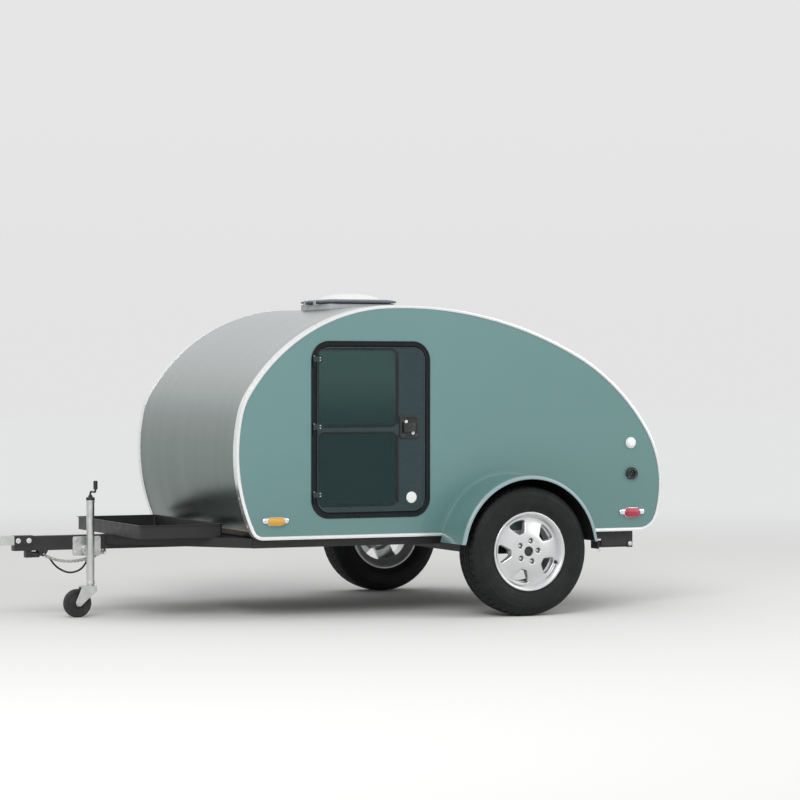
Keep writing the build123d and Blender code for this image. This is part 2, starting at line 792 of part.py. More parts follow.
for side, sign in sides:
    leaf_out = sign * leaf_outer
    leaf_in = sign * (leaf_outer - leaf_thickness)
    pane_in = sign * (leaf_outer - pane_thickness)
    with BuildPart() as door_leaf:
        with BuildSketch(side_plane(max(leaf_out, leaf_in))):
            door_shape(-leaf_gap)
            for pane, low, high in panes:
                with Locations(((pane_front + pane_rear) / 2, (low + high) / 2)):
                    RectangleRounded(
                        pane_rear - pane_front - 2 * rebate, high - low - 2 * rebate, 24, mode=Mode.SUBTRACT,
                    )
        extrude(amount=leaf_thickness)
        with BuildSketch(side_plane(max(leaf_out, pane_in))):
            for pane, low, high in panes:
                with Locations(((pane_front + pane_rear) / 2, (low + high) / 2)):
                    RectangleRounded(pane_rear - pane_front, high - low, 34)
        extrude(amount=pane_thickness, mode=Mode.SUBTRACT)
        pin_y = sign * hinge_pin_y
        for height in hinge_heights:
            rod_z(hinge_pin_x, pin_y, 5, height + 0.5, height + 30)
            block(
                hinge_pin_x, opening_front + leaf_gap + 28, min(leaf_out, pin_y), max(leaf_out, pin_y),
                height + 0.5, height + 30,
            )
            rod_z(hinge_pin_x, pin_y, hinge_pin + running_gap, height, height + 31, mode=Mode.SUBTRACT)
    store(door_leaf.part, side + "_door_leaf")

    with BuildPart() as door_glass:
        with BuildSketch(side_plane(max(leaf_out, pane_in))):
            for pane, low, high in panes:
                with Locations(((pane_front + pane_rear) / 2, (low + high) / 2)):
                    RectangleRounded(
                        pane_rear - pane_front - 2 * curved_gap, high - low - 2 * curved_gap, 34 - curved_gap,
                    )
        extrude(amount=pane_thickness)
    store(door_glass.part, side + "_door_glass")

    with BuildPart() as door_latch:
        for width, height, corner, low, thickness in latch_layers:
            layer_in = sign * (leaf_outer + low)
            layer_out = sign * (leaf_outer + low + thickness)
            with BuildSketch(side_plane(max(layer_in, layer_out))):
                with Locations((latch_x, door_z + latch_rise)):
                    RectangleRounded(width, height, corner)
            extrude(amount=thickness)
            fillet(door_latch.faces().sort_by(Axis.Y)[-1 if sign > 0 else 0].edges(), 3)
    store(door_latch.part, side + "_door_latch")

# Wings over the wheels
wing_gap = 56.5
wing_sheet = 4
wing_radius = tyre_radius + wing_gap + wing_sheet
axle_z = tyre_radius
wing_end = axle_z + 45.5
wing_outer = tyre_centre_y + tyre_width / 2 + 6
lip = 20
wing_edge = 10
wing_bend = 3
# Section of a wing: depth below its top and distance from the trailer's middle
wing_section = (
    (0, wall_outer),
    (0, wing_outer - wing_edge),
    (wing_bend, wing_outer - wing_bend),
    (wing_edge, wing_outer),
    (lip, wing_outer),
    (lip, wing_outer - wing_sheet),
    (wing_edge + 1, wing_outer - wing_sheet),
    (wing_bend + 3, wing_outer - wing_bend - 3),
    (wing_sheet, wing_outer - wing_edge - 1),
    (wing_sheet, wall_outer),
)


def wing_arc(large, small, low):
    """Part of a ring round the axle that lies above a height."""
    with Locations((axle_x, axle_z)):
        Circle(large)
        Circle(small, mode=Mode.SUBTRACT)
    with Locations((axle_x, low + 500)):
        Rectangle(2000, 1000, mode=Mode.INTERSECT)


with BuildPart() as fenders:
    for side, sign in sides:
        with BuildPart(mode=Mode.PRIVATE) as wing:
            with BuildSketch(Plane(origin=(axle_x, 0, axle_z), x_dir=(1, 0, 0), z_dir=(0, 0, 1))):
                with BuildLine():
                    Polyline([(wing_radius - down, sign * y) for down, y in wing_section], close=True)
                make_face()
            revolve(axis=Axis((axle_x, 0, axle_z), (0, 1, 0)))
            block(
                axle_x - 500, axle_x + 500, -wing_outer - 10, wing_outer + 10, axle_z - 500, wing_end,
                mode=Mode.SUBTRACT,
            )
        add(wing.part)
        notch = sign * (wall_outer + trim_thickness + 0.6)
        block(
            axle_x - 500, axle_x + 500, min(notch, sign * wall_outer), max(notch, sign * wall_outer),
            300, body_bottom + trim_leg + 4, mode=Mode.SUBTRACT,
        )
        with BuildSketch(side_plane(max(sign * wall_outer, sign * (wall_outer + wing_sheet)))):
            wing_arc(wing_radius + 22, wing_radius - wing_sheet, body_bottom + trim_leg + 4)
        extrude(amount=wing_sheet)
store(fenders.part, "fenders")

# Axle: a square tube with trailing arms and spindles
axle_tube = 60
axle_tube_x = axle_x - 150
arm_in = side_rail_outer + 30
arm_out = arm_in + 20
spindle_end = tyre_centre_y + 46
with BuildPart() as axle_beam:
    block(
        axle_tube_x - axle_tube / 2, axle_tube_x + axle_tube / 2, -arm_in, arm_in,
        frame_bottom - axle_tube, frame_bottom,
    )
    for side, sign in sides:
        with BuildSketch(side_plane(max(sign * arm_in, sign * arm_out))):
            with Locations((axle_tube_x, frame_bottom - axle_tube / 2)):
                Circle(32)
            with Locations((axle_x, axle_z)):
                Circle(27)
            make_hull()
        extrude(amount=arm_out - arm_in)
        rod_y(axle_x, axle_z, spindle_radius, sign * arm_out, sign * spindle_end)
store(axle_beam.part, "axle_beam")


def wheel_plane(y):
    """Drawing plane through a wheel's axis: across as radius, up as Y."""
    return Plane(origin=(axle_x, y, axle_z), x_dir=(1, 0, 0), z_dir=(0, 0, 1))


# Wheels: tyre, cast five spoke rim and hub
pad_in = 5
pad_out = 30
pad_radius = 82
spoke_out = 76
spoke_edge_out = 52
spoke_edge_in = 28
hub_bore = 33.5
hub_recess = 36
barrel_radius = bead_radius - 8.5
well_radius = bead_radius - 22.5
window_inner = 110
window_outer = 168
window_inner_half = 17
window_outer_half = 54
window_corner = 10
window_heading = 40

# Half sections of the rim and of its cast centre: radius, distance out from the wheel's middle
rim_section = (
    (rim_flange_radius, rim_half_width),
    (rim_flange_radius, rim_half_width - 6),
    (bead_radius, rim_half_width - 13),
    (bead_radius, 13 - rim_half_width),
    (rim_flange_radius, 6 - rim_half_width),
    (rim_flange_radius, -rim_half_width),
    (bead_radius + 12.5, -rim_half_width),
    (barrel_radius, 12 - rim_half_width),
    (well_radius, 30 - rim_half_width),
    (well_radius, -10),
    (barrel_radius, spoke_edge_in - 6),
    (barrel_radius, rim_half_width - 12),
    (bead_radius + 12.5, rim_half_width),
)
centre_section = (
    (hub_bore, pad_in),
    (pad_radius, pad_in),
    (pad_radius + 16, spoke_edge_in),
    (barrel_radius + 3, spoke_edge_in),
    (barrel_radius + 3, spoke_edge_out),
    (pad_radius, spoke_out),
    (hub_bore, spoke_out),
)
for side, sign in sides:
    centre_y = sign * tyre_centre_y
    spin = Axis((axle_x, centre_y, axle_z), (0, 1, 0))
    half = tyre_width / 2
    w = rim_half_width
    with BuildPart() as tyre:
        with BuildSketch(wheel_plane(centre_y)):
            bead = bead_radius + curved_gap
            belly = (rim_flange_radius + tyre_radius) / 2
            with BuildLine():
                Polyline(
                    (bead, w - 13.6), (rim_flange_radius + 2, w - 6.5), (belly - 20, half - 1.5), (belly + 15, half),
                    (tyre_radius - 22, half - 9), (tyre_radius - 6, half - 20), (tyre_radius, half - 36), (tyre_radius, 0),
                )
                mirror(about=Plane.XZ)
                Line((bead, w - 13.6), (bead, -w + 13.6))
            make_face()
        revolve(axis=spin)
    store(tyre.part, side + "_tyre")

    with BuildPart() as rim:
        for section in (rim_section, centre_section):
            with BuildSketch(wheel_plane(centre_y)):
                with BuildLine():
                    Polyline([(radius, sign * out) for radius, out in section], close=True)
                make_face()
            revolve(axis=spin)
        face = centre_y + sign * spoke_out
        outward_plane = Plane(origin=(axle_x, face, axle_z), x_dir=(sign, 0, 0), z_dir=(0, -sign, 0))
        for spoke in range(spoke_count):
            turn = window_heading + 360 / spoke_count * spoke
            arm = Vector(sign * cos(radians(turn)), sin(radians(turn)))
            across = Vector(-arm.Y, arm.X)
            with BuildSketch(outward_plane) as window:
                with BuildLine():
                    inner_edge = Line(
                        arm * window_inner - across * window_inner_half,
                        arm * window_inner + across * window_inner_half,
                    )
                    outer_edge = ThreePointArc(
                        arm * (window_outer - 10) + across * window_outer_half, arm * window_outer,
                        arm * (window_outer - 10) - across * window_outer_half,
                    )
                    Line(inner_edge @ 1, outer_edge @ 0)
                    Line(outer_edge @ 1, inner_edge @ 0)
                make_face()
                fillet(window.vertices(), window_corner)
            extrude(amount=spoke_out - spoke_edge_in + 10, mode=Mode.SUBTRACT)
        rod_y(axle_x, axle_z, hub_recess, centre_y + sign * (spoke_out - 26), face + sign, mode=Mode.SUBTRACT)
        for lug in range(spoke_count):
            turn = radians(window_heading + 360 / spoke_count * (lug + 0.5))
            lug_x = axle_x + lug_circle / 2 * cos(turn)
            lug_z = axle_z + lug_circle / 2 * sin(turn)
            rod_y(lug_x, lug_z, 14, centre_y + sign * pad_out, face + sign, mode=Mode.SUBTRACT)
            rod_y(lug_x, lug_z, lug_hole_radius, centre_y, face, mode=Mode.SUBTRACT)
    store(rim.part, side + "_rim")

    with BuildPart() as hub:
        rod_y(axle_x, axle_z, 38, centre_y - sign * 120, centre_y - sign * 8)
        rod_y(axle_x, axle_z, 76, centre_y - sign * 8, centre_y + sign * pad_in)
        rod_y(axle_x, axle_z, 30, centre_y + sign * pad_in, centre_y + sign * 52)
        fillet(hub.edges().sort_by(Axis.Y)[-1 if sign > 0 else 0], 8)
        rod_y(
            axle_x, axle_z, spindle_radius + running_gap, centre_y - sign * 121, centre_y + sign * 47,
            mode=Mode.SUBTRACT,
        )
    store(hub.part, side + "_hub")

# Stabiliser legs at the rear: a swinging tube with a sliding foot
for side, sign in sides:
    leg_y = sign * (side_rail_outer - rail / 2)
    with BuildPart() as leg_tube:
        block(
            leg_pivot_x - leg_length, leg_pivot_x + 15, leg_y - leg_half, leg_y + leg_half,
            leg_pivot_z - leg_half, leg_pivot_z + leg_half,
        )
        block(
            leg_pivot_x - leg_length - 1, leg_pivot_x - 14, leg_y - 14, leg_y + 14,
            leg_pivot_z - 14, leg_pivot_z + 14, mode=Mode.SUBTRACT,
        )
        rod_y(leg_pivot_x, leg_pivot_z, 6 + running_gap, leg_y - 30, leg_y + 30, mode=Mode.SUBTRACT)
    store(leg_tube.part, side + "_leg_tube")

    with BuildPart() as leg_foot:
        pad_x = leg_pivot_x - leg_length - 6
        block(
            pad_x, leg_pivot_x - 20, leg_y - 13.7, leg_y + 13.7, leg_pivot_z - 13.7, leg_pivot_z + 13.7,
        )
        block(pad_x - 5, pad_x, leg_y - 40, leg_y + 40, leg_pivot_z - 24, leg_pivot_z + 24)
    store(leg_foot.part, side + "_leg_foot")

# Lamps and small fittings on the side walls: name, centre X, centre Z, length, height
side_lamps = (
    ("amber_lenses", body_nose_x + 222, body_bottom + 96, 150, 48),
    ("red_lenses", body_tail_x - 191, body_bottom + 101, 160, 57),
)
lens_edge = 7
with BuildPart() as lamp_bases:
    for lamp, x, z, length, height in side_lamps:
        for side, sign in sides:
            low = min(sign * wall_outer, sign * (wall_outer + 8))
            with BuildSketch(side_plane(low + 8)):
                with Locations((x, z)):
                    SlotOverall(length, height)
            extrude(amount=8)
store(lamp_bases.part, "lamp_bases")

for lamp, x, z, length, height in side_lamps:
    with BuildPart() as lenses:
        for side, sign in sides:
            low = min(sign * (wall_outer + 8), sign * (wall_outer + 24))
            with BuildSketch(side_plane(low + 16)):
                with Locations((x, z)):
                    SlotOverall(length - 16, height - 14)
            extrude(amount=16)
        for face in (lenses.faces().sort_by(Axis.Y)[0], lenses.faces().sort_by(Axis.Y)[-1]):
            fillet(face.edges(), lens_edge)
    store(lenses.part, lamp)

with BuildPart() as porch_lights:
    for side, sign in sides:
        rod_y(body_tail_x - 198, body_bottom + 485, 31, sign * wall_outer, sign * (wall_outer + 22))
    for face in (porch_lights.faces().sort_by(Axis.Y)[0], porch_lights.faces().sort_by(Axis.Y)[-1]):
        fillet(face.edges(), 2 * lens_edge)
store(porch_lights.part, "porch_lights")

with BuildPart() as power_inlet:
    rod_y(body_tail_x - 194, body_bottom + 316, 33, -wall_outer, -wall_outer - 16)
    rod_y(body_tail_x - 194, body_bottom + 316, 17, -wall_outer - 4, -wall_outer - 17, mode=Mode.SUBTRACT)
store(power_inlet.part, "power_inlet")

# Fittings on the hatch: tail lamps and handles
tail_z = body_bottom + 176
with BuildPart() as tail_lights:
    for side, sign in sides:
        with BuildSketch(Plane.YZ.offset(body_tail_x - 60)):
            with Locations((sign * (hatch_half - 158), tail_z)):
                SlotOverall(160, 57)
        extrude(amount=60 + lamp_stand_off)
    fillet(tail_lights.edges().group_by(Axis.X)[-1], lens_edge)
    with BuildSketch(side_plane(800)):
        with BuildLine():
            draw_outline(skin_inset - curved_gap)
        make_face()
    extrude(amount=1600, mode=Mode.SUBTRACT)
store(tail_lights.part, "tail_lights")

handle_y = 420
handle_z = body_bottom + 104
handle_out = body_tail_x - 4
handle_base_length = 84
handle_base_half = 22
handle_base_corner = 14
handle_base_out = edge_x(handle_z + handle_base_half, skin_inset, True) + 5
handle_edge = 4
grip_half_length = 35
grip_half_height = 9
grip_thickness = 12
stem_half = 7
with BuildPart() as hatch_handles:
    for side, sign in sides:
        middle_y = sign * handle_y
        with BuildSketch(Plane.YZ.offset(body_tail_x - 60)):
            with Locations((middle_y, handle_z)):
                RectangleRounded(handle_base_length, 2 * handle_base_half, handle_base_corner)
        extrude(amount=handle_base_out - body_tail_x + 60)
        block(
            handle_base_out - 20, handle_out - 5, middle_y - stem_half - 2, middle_y + stem_half + 2,
            handle_z - stem_half, handle_z + stem_half,
        )
        block(
            handle_out - grip_thickness, handle_out, middle_y - grip_half_length, middle_y + grip_half_length,
            handle_z - grip_half_height, handle_z + grip_half_height,
        )
    fillet(hatch_handles.edges().group_by(Axis.X)[-1], handle_edge)
    with BuildSketch(side_plane(800)):
        with BuildLine():
            draw_outline(skin_inset - curved_gap)
        make_face()
    extrude(amount=1600, mode=Mode.SUBTRACT)
store(hatch_handles.part, "hatch_handles")

# Wiring lead: leaves the tongue's underside, hangs in a bow and is parked in a holder
lead_radius = 5
lead_points = (
    (axle_x - 2106, 0, 349),
    (axle_x - 2128, 0, 262),
    (axle_x - 2215, 0, 222),
    (axle_x - 2300, 0, 262),
    (axle_x - 2345, 0, 333),
    (axle_x - 2390, 0, 333),
)
lead_radii = []
for before, corner, after in zip(lead_points, lead_points[1:], lead_points[2:]):
    first = Vector(*corner) - Vector(*before)
    second = Vector(*after) - Vector(*corner)
    half_turn = radians(first.get_angle(second) / 2)
    lead_radii.append(0.45 * min(first.length, second.length) / (sin(half_turn) / cos(half_turn)))
print("lead radii", [round(radius, 1) for radius in lead_radii])
with BuildPart() as wiring_lead:
    with BuildLine():
        lead_path = FilletPolyline(*lead_points, radius=lead_radii)
    lead_start = Plane(origin=lead_path @ 0, z_dir=lead_path % 0)
    with BuildSketch(lead_start):
        Circle(lead_radius)
    sweep(path=lead_path)
store(wiring_lead.part, "wiring_lead")

with BuildPart() as lead_plug:
    with BuildSketch(Plane.YZ.offset(lead_points[-1][0] - 0.3)):
        with Locations(lead_points[-1][1:]):
            Circle(16)
    extrude(amount=holder_x - lead_points[-1][0] + 0.3)
store(lead_plug.part, "lead_plug")

print("axle_x", axle_x, "scale", round(arc_scale, 4), "straights", front_straight, top_straight, rear_straight)
print("bead", round(bead_at.X, 3), round(bead_at.Y, 3), "bulkhead", round(bulkhead_x, 3))
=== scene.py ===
import json
from math import asin, copysign, cos, cosh, exp, hypot, pi, radians, sin, sqrt, tan

import bmesh
import bpy
from mathutils import Matrix, Vector


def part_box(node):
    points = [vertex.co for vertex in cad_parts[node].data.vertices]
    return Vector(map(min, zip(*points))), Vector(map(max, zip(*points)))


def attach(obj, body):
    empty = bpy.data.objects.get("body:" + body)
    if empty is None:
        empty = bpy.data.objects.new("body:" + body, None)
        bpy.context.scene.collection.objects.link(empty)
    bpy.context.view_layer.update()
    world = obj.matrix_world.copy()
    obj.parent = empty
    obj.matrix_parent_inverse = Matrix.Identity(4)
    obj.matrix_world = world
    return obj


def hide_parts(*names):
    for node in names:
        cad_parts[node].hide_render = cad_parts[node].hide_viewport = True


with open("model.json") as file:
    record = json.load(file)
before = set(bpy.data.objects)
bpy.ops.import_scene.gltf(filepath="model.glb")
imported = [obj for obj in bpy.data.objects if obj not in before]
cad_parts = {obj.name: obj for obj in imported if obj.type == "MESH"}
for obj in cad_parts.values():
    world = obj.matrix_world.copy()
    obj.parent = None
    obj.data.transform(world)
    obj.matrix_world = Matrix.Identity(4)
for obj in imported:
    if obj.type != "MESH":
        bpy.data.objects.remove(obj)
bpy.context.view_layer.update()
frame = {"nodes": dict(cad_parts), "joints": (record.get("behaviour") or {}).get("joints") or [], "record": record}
nodes = frame["nodes"]

# Places read from the frame, in metres
rim_low, rim_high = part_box("left_rim")
axle_x = (rim_low.x + rim_high.x) / 2
axle_z = (rim_low.z + rim_high.z) / 2
wall_low, wall_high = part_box("left_wall")
wall_outer = -wall_low.y
wall_inner = -wall_high.y
trim_low, trim_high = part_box("edge_trim")
trim_face = -trim_low.y
sides = (("left", -1), ("right", 1))
joint_at = {joint["name"]: Vector(joint["pos_m"]) for joint in frame["joints"] if "pos_m" in joint}
along_x, along_y, along_z = Vector((1, 0, 0)), Vector((0, 1, 0)), Vector((0, 0, 1))


# Materials


class Nodes:
    """Adds nodes to a tree. Sockets take numbers, colours or the outputs of other nodes."""

    def __init__(self, tree):
        self.tree = tree

    def add(self, kind, sockets=None, **values):
        node = self.tree.nodes.new(kind)
        for key, value in values.items():
            setattr(node, key, value)
        for socket, value in (sockets or {}).items():
            if isinstance(value, bpy.types.NodeSocket):
                self.tree.links.new(value, node.inputs[socket])
            else:
                node.inputs[socket].default_value = value
        return node

    def fade(self, value, low, high, new_low=0.0, new_high=1.0):
        """A value moved smoothly from one range to another and kept inside it."""
        return self.add("ShaderNodeMapRange", {
            "Value": value, "From Min": low, "From Max": high, "To Min": new_low, "To Max": new_high,
        }, interpolation_type="SMOOTHSTEP").outputs["Result"]

    def math(self, operation, first, second=0.0):
        return self.add("ShaderNodeMath", {0: first, 1: second}, operation=operation).outputs["Value"]

    def vector(self, operation, first, second, output="Vector"):
        return self.add("ShaderNodeVectorMath", {0: first, 1: second}, operation=operation).outputs[output]


class Finish(Nodes):
    """A node material: its Principled shader and the nodes that give it detail."""

    def __init__(self, name, colour, roughness, metallic=0.0, **sockets):
        self.material = bpy.data.materials.new(name)
        self.material.use_nodes = True
        super().__init__(self.material.node_tree)
        self.shader = self.tree.nodes["Principled BSDF"]
        self.place = self.add("ShaderNodeTexCoord").outputs["Object"]
        self.shader.inputs["Base Color"].default_value = (*colour, 1)
        self.shader.inputs["Roughness"].default_value = roughness
        self.shader.inputs["Metallic"].default_value = metallic
        for socket, value in sockets.items():
            self.shader.inputs[socket.replace("_", " ").title().replace("Ior", "IOR")].default_value = value

    def stretched(self, stretch):
        """The object's own coordinates, stretched along each axis."""
        return self.add("ShaderNodeMapping", {"Vector": self.place, "Scale": stretch}).outputs["Vector"]

    def noise(self, scale, detail=3.0, stretch=(1, 1, 1), roughness=0.5, distortion=0.0):
        return self.add("ShaderNodeTexNoise", {
            "Vector": self.stretched(stretch), "Scale": scale, "Detail": detail, "Roughness": roughness,
            "Distortion": distortion,
        }).outputs["Fac"]

    def cells(self, scale):
        sockets = {"Vector": self.stretched((1, 1, 1)), "Scale": scale}
        return self.add("ShaderNodeTexVoronoi", sockets).outputs["Distance"]

    def wave(self, scale, distortion=0.0, **values):
        sockets = {"Vector": self.place, "Scale": scale, "Distortion": distortion}
        return self.add("ShaderNodeTexWave", sockets, **values).outputs["Fac"]

    def axis(self, name):
        return self.add("ShaderNodeSeparateXYZ", {"Vector": self.place}).outputs[name]

    def rounded(self, radius):
        """The normal as if edges were rounded."""
        return self.add("ShaderNodeBevel", {"Radius": radius}, samples=4).outputs["Normal"]

    def worn(self, width):
        """High on outer edges, from how far the rounded normal leaves the true one."""
        true = self.add("ShaderNodeNewGeometry").outputs["Normal"]
        return self.fade(self.vector("DOT_PRODUCT", self.rounded(width), true, "Value"), 0.98, 0.8)

    def paint(self, amount, colour):
        """Lays another colour over the finish where the amount is high."""
        base = self.shader.inputs["Base Color"]
        under = base.links[0].from_socket if base.is_linked else base.default_value
        mix = self.add("ShaderNodeMix", {"A": under, "B": (*colour, 1), "Factor": amount}, data_type="RGBA")
        self.tree.links.new(mix.outputs["Result"], base)

    def patches(self, scale, detail, low, high, amount, colour):
        """Clouds of a second colour, where noise rises from low to high."""
        self.paint(self.fade(self.noise(scale, detail), low, high, 0.0, amount), colour)

    def rough(self, amount, low, high):
        """Roughness that runs from low to high with an amount."""
        self.tree.links.new(self.fade(amount, 0.0, 1.0, low, high), self.shader.inputs["Roughness"])

    def relief(self, height, depth, strength=1.0):
        """Bump of a height from 0 to 1, as deep as depth in metres, added to what is there."""
        normal = self.shader.inputs["Normal"]
        sockets = {"Strength": strength, "Distance": depth, "Height": height}
        if normal.is_linked:
            sockets["Normal"] = normal.links[0].from_socket
        self.tree.links.new(self.add("ShaderNodeBump", sockets).outputs["Normal"], normal)

    def soft_edges(self, radius):
        """Rounded look of small edges. Comes before relief."""
        self.tree.links.new(self.rounded(radius), self.shader.inputs["Normal"])


def plain(name, colour, roughness, metallic=0.0, edge=0.0, patches=None, rough=None, relief=None, **sockets):
    """A finish with soft edges, clouds of a second colour, uneven roughness and a fine relief.

    rough is noise scale, noise detail, lowest and highest roughness.
    relief is noise scale, noise detail, depth and strength."""
    finish = Finish(name, colour, roughness, metallic, **sockets)
    if edge:
        finish.soft_edges(edge)
    if patches:
        finish.patches(*patches)
    if rough:
        finish.rough(finish.noise(*rough[:2]), *rough[2:])
    if relief:
        finish.relief(finish.noise(*relief[:2]), *relief[2:])
    return finish


# Colours and places that several finishes share
road_dust = (0.36, 0.33, 0.29)
enamel_black = (0.016, 0.016, 0.017)
sleeve_front_x = axle_x - 2.534
ply_grain = (14.0, 8.0, (0.6, 0.35, 7.0), 0.6, 0.8)


def dust_low(finish, reach, amount, colour=road_dust):
    """Road dust that fades with height above the ground."""
    low = finish.fade(finish.axis("Z"), reach, 0.0, 0.0, amount)
    patchy = finish.fade(finish.noise(9.0, 6.0), 0.3, 0.75)
    finish.paint(finish.math("MULTIPLY", low, patchy), colour)


def non_metal(finish, mask):
    """Takes the metal out of a finish where the mask is high."""
    finish.tree.links.new(finish.math("SUBTRACT", 1.0, mask), finish.shader.inputs["Metallic"])


def inside_ply(finish, mask):
    """Shows clear-coated birch ply instead of the finish where the mask is high."""
    finish.paint(mask, (0.56, 0.42, 0.27))
    streaks = finish.fade(finish.noise(*ply_grain), 0.35, 0.7, 0.0, 0.6)
    finish.paint(finish.math("MULTIPLY", mask, streaks), (0.42, 0.28, 0.15))


def facing_in(finish, middle):
    """High on faces that look towards the middle of the cabin."""
    away = finish.vector("MULTIPLY", finish.vector("SUBTRACT", finish.place, middle), (1, 0, 1))
    normal = finish.add("ShaderNodeNewGeometry").outputs["True Normal"]
    turned = finish.add("ShaderNodeVectorTransform", {"Vector": normal}, vector_type="NORMAL",
                        convert_from="WORLD", convert_to="OBJECT").outputs["Vector"]
    return finish.math("LESS_THAN", finish.vector("DOT_PRODUCT", away, turned, "Value"), -0.02)


def body_paint():
    """Gloss grey-green enamel with a little orange peel, over ply that shows in the cabin."""
    finish = plain(
        "body_paint", (0.124, 0.246, 0.246), 0.34, 0.0, 0.002,
        (1.3, 3.0, 0.35, 0.75, 0.35, (0.138, 0.268, 0.268)), (5.0, 5.0, 0.28, 0.42), (220.0, 1.0, 0.00004),
        coat_weight=0.6, coat_roughness=0.1,
    )
    # Painted shade: the enamel is darkened towards the rear and towards the bottom of the body
    finish.paint(finish.fade(finish.axis("X"), 0.5, 1.75, 0.0, 0.75), (0.104, 0.222, 0.212))
    finish.paint(finish.fade(finish.axis("Z"), 0.95, 0.5, 0.0, 0.5), (0.098, 0.208, 0.2))
    dust_low(finish, 0.55, 0.12)
    across = finish.math("ABSOLUTE", finish.axis("Y"))
    inside_ply(finish, finish.fade(across, wall_inner + 0.004, wall_inner + 0.001))
    return finish


def frame_paint():
    """Satin black enamel on steel, dusty low down and thin on its edges."""
    finish = plain(
        "frame_paint", enamel_black, 0.42, 0.0, 0.003, None, (18.0, 5.0, 0.34, 0.56), (380.0, 2.0, 0.00012),
        specular_ior_level=0.45,
    )
    patchy = finish.fade(finish.noise(40.0, 4.0), 0.5, 0.7, 0.0, 0.5)
    finish.paint(finish.math("MULTIPLY", finish.worn(0.003), patchy), (0.12, 0.115, 0.11))
    dust_low(finish, 0.5, 0.16)
    return finish


def zinc():
    """Bright zinc plate, a little cloudy."""
    finish = plain(
        "zinc", (0.66, 0.67, 0.66), 0.3, 1.0, 0.002, (24.0, 5.0, 0.35, 0.7, 0.6, (0.5, 0.51, 0.5)),
        (30.0, 5.0, 0.22, 0.46),
    )
    finish.relief(finish.cells(300.0), 0.00005)
    return finish


def coupler_finish():
    """Zinc plate at the nose and black enamel on the sleeve behind it, but for the cross bolts' heads."""
    finish = zinc()
    behind = finish.math("GREATER_THAN", finish.axis("X"), sleeve_front_x)
    beside = finish.math("LESS_THAN", finish.math("ABSOLUTE", finish.axis("Y")), 0.0298)
    painted = finish.math("MULTIPLY", behind, beside)
    finish.paint(painted, enamel_black)
    non_metal(finish, painted)
    return finish


def skin():
    """Satin aluminium sheet, its grain running over the roof. Low at the front it is darkened with a painted
    reflection of the shaded ground.
    """
    finish = Finish("skin", (0.47, 0.495, 0.495), 0.34, 1.0, anisotropic=0.35)
    grain = finish.noise(60.0, 4.0, (0.02, 9.0, 0.02))
    finish.paint(finish.fade(grain, 0.3, 0.75, 0.0, 0.5), (0.42, 0.44, 0.44))
    # Painted reflection: low at the front the skin is darkened as if it mirrored the shaded ground
    lower = finish.math("MULTIPLY", finish.fade(finish.axis("Z"), 1.5, 0.8, 0.0, 0.9),
                        finish.fade(finish.axis("X"), 0.4, -0.2))
    finish.paint(lower, (0.185, 0.232, 0.218))
    finish.rough(finish.noise(3.0, 4.0, (0.4, 3.0, 0.4)), 0.27, 0.41)
    finish.relief(grain, 0.00003)
    finish.relief(finish.noise(2.2, 1.0), 0.0012, 0.5)
    inside = facing_in(finish, ((trim_low.x + trim_high.x) / 2, 0, trim_low.z + 0.5))
    inside_ply(finish, inside)
    non_metal(finish, inside)
    return finish


def board():
    """Clear-coated birch plywood."""
    finish = Finish("board", (0.56, 0.4, 0.25), 0.38, coat_weight=0.3, coat_roughness=0.2)
    finish.soft_edges(0.0015)
    grain = finish.noise(*ply_grain)
    finish.paint(finish.fade(grain, 0.35, 0.7, 0.0, 0.75), (0.4, 0.25, 0.13))
    streaks = finish.noise(120.0, 3.0, (0.3, 0.1, 6.0))
    finish.paint(finish.fade(streaks, 0.55, 0.8, 0.0, 0.35), (0.26, 0.15, 0.08))
    finish.rough(grain, 0.3, 0.48)
    finish.relief(grain, 0.0001)
    return finish


def floor_board():
    """Floor ply with a black sealed underside."""
    finish = Finish("floor_board", (0.5, 0.36, 0.22), 0.5)
    grain = finish.noise(14.0, 8.0, (0.35, 6.0, 6.0), 0.6, 0.8)
    finish.paint(finish.fade(grain, 0.35, 0.7, 0.0, 0.7), (0.34, 0.22, 0.12))
    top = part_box("floor")[1].z
    finish.paint(finish.fade(finish.axis("Z"), top - 0.003, top - 0.006), (0.012, 0.012, 0.012))
    finish.relief(finish.noise(160.0, 3.0), 0.0002)
    return finish


def cover():
    """Woven mattress cover."""
    finish = Finish("cover", (0.5, 0.49, 0.46), 0.85, sheen_weight=0.35, sheen_roughness=0.5)
    weave = finish.math("MULTIPLY", *(finish.wave(130.0, 0.6, bands_direction=way) for way in "XY"))
    finish.paint(finish.fade(weave, 0.0, 1.0, 0.45, 0.0), (0.34, 0.33, 0.31))
    finish.patches(7.0, 5.0, 0.4, 0.7, 0.2, (0.56, 0.55, 0.52))
    finish.relief(weave, 0.0006)
    return finish


def pane():
    """Smoked safety glass, made lighter at the top by a painted sky reflection."""
    # The green specular tint colours the glass's reflections as if they mirrored green surroundings: a painted
    # reflection colour
    finish = plain(
        "pane", (0.045, 0.1, 0.1), 0.03, rough=(6.0, 5.0, 0.0, 0.06), relief=(3.0, 1.0, 0.0004, 0.4),
        transmission_weight=0.86, ior=1.45, specular_tint=(0.62, 1.0, 0.97, 1.0),
    )
    # Painted reflection: the glass is lightened towards the top as if it mirrored the sky
    finish.paint(finish.fade(finish.axis("Z"), 0.95, 1.3), (0.17, 0.31, 0.28))
    return finish


def alloy():
    """Silver painted casting with a fine flake."""
    finish = plain("alloy", (0.74, 0.75, 0.755), 0.3, 0.72, 0.0015, None, (20.0, 5.0, 0.24, 0.38),
                   (300.0, 2.0, 0.00005), coat_weight=0.35, coat_roughness=0.12)
    finish.paint(finish.fade(finish.cells(900.0), 0.1, 0.6, 0.0, 0.35), (0.5, 0.51, 0.52))
    dust_low(finish, 0.5, 0.18, (0.3, 0.27, 0.24))
    return finish


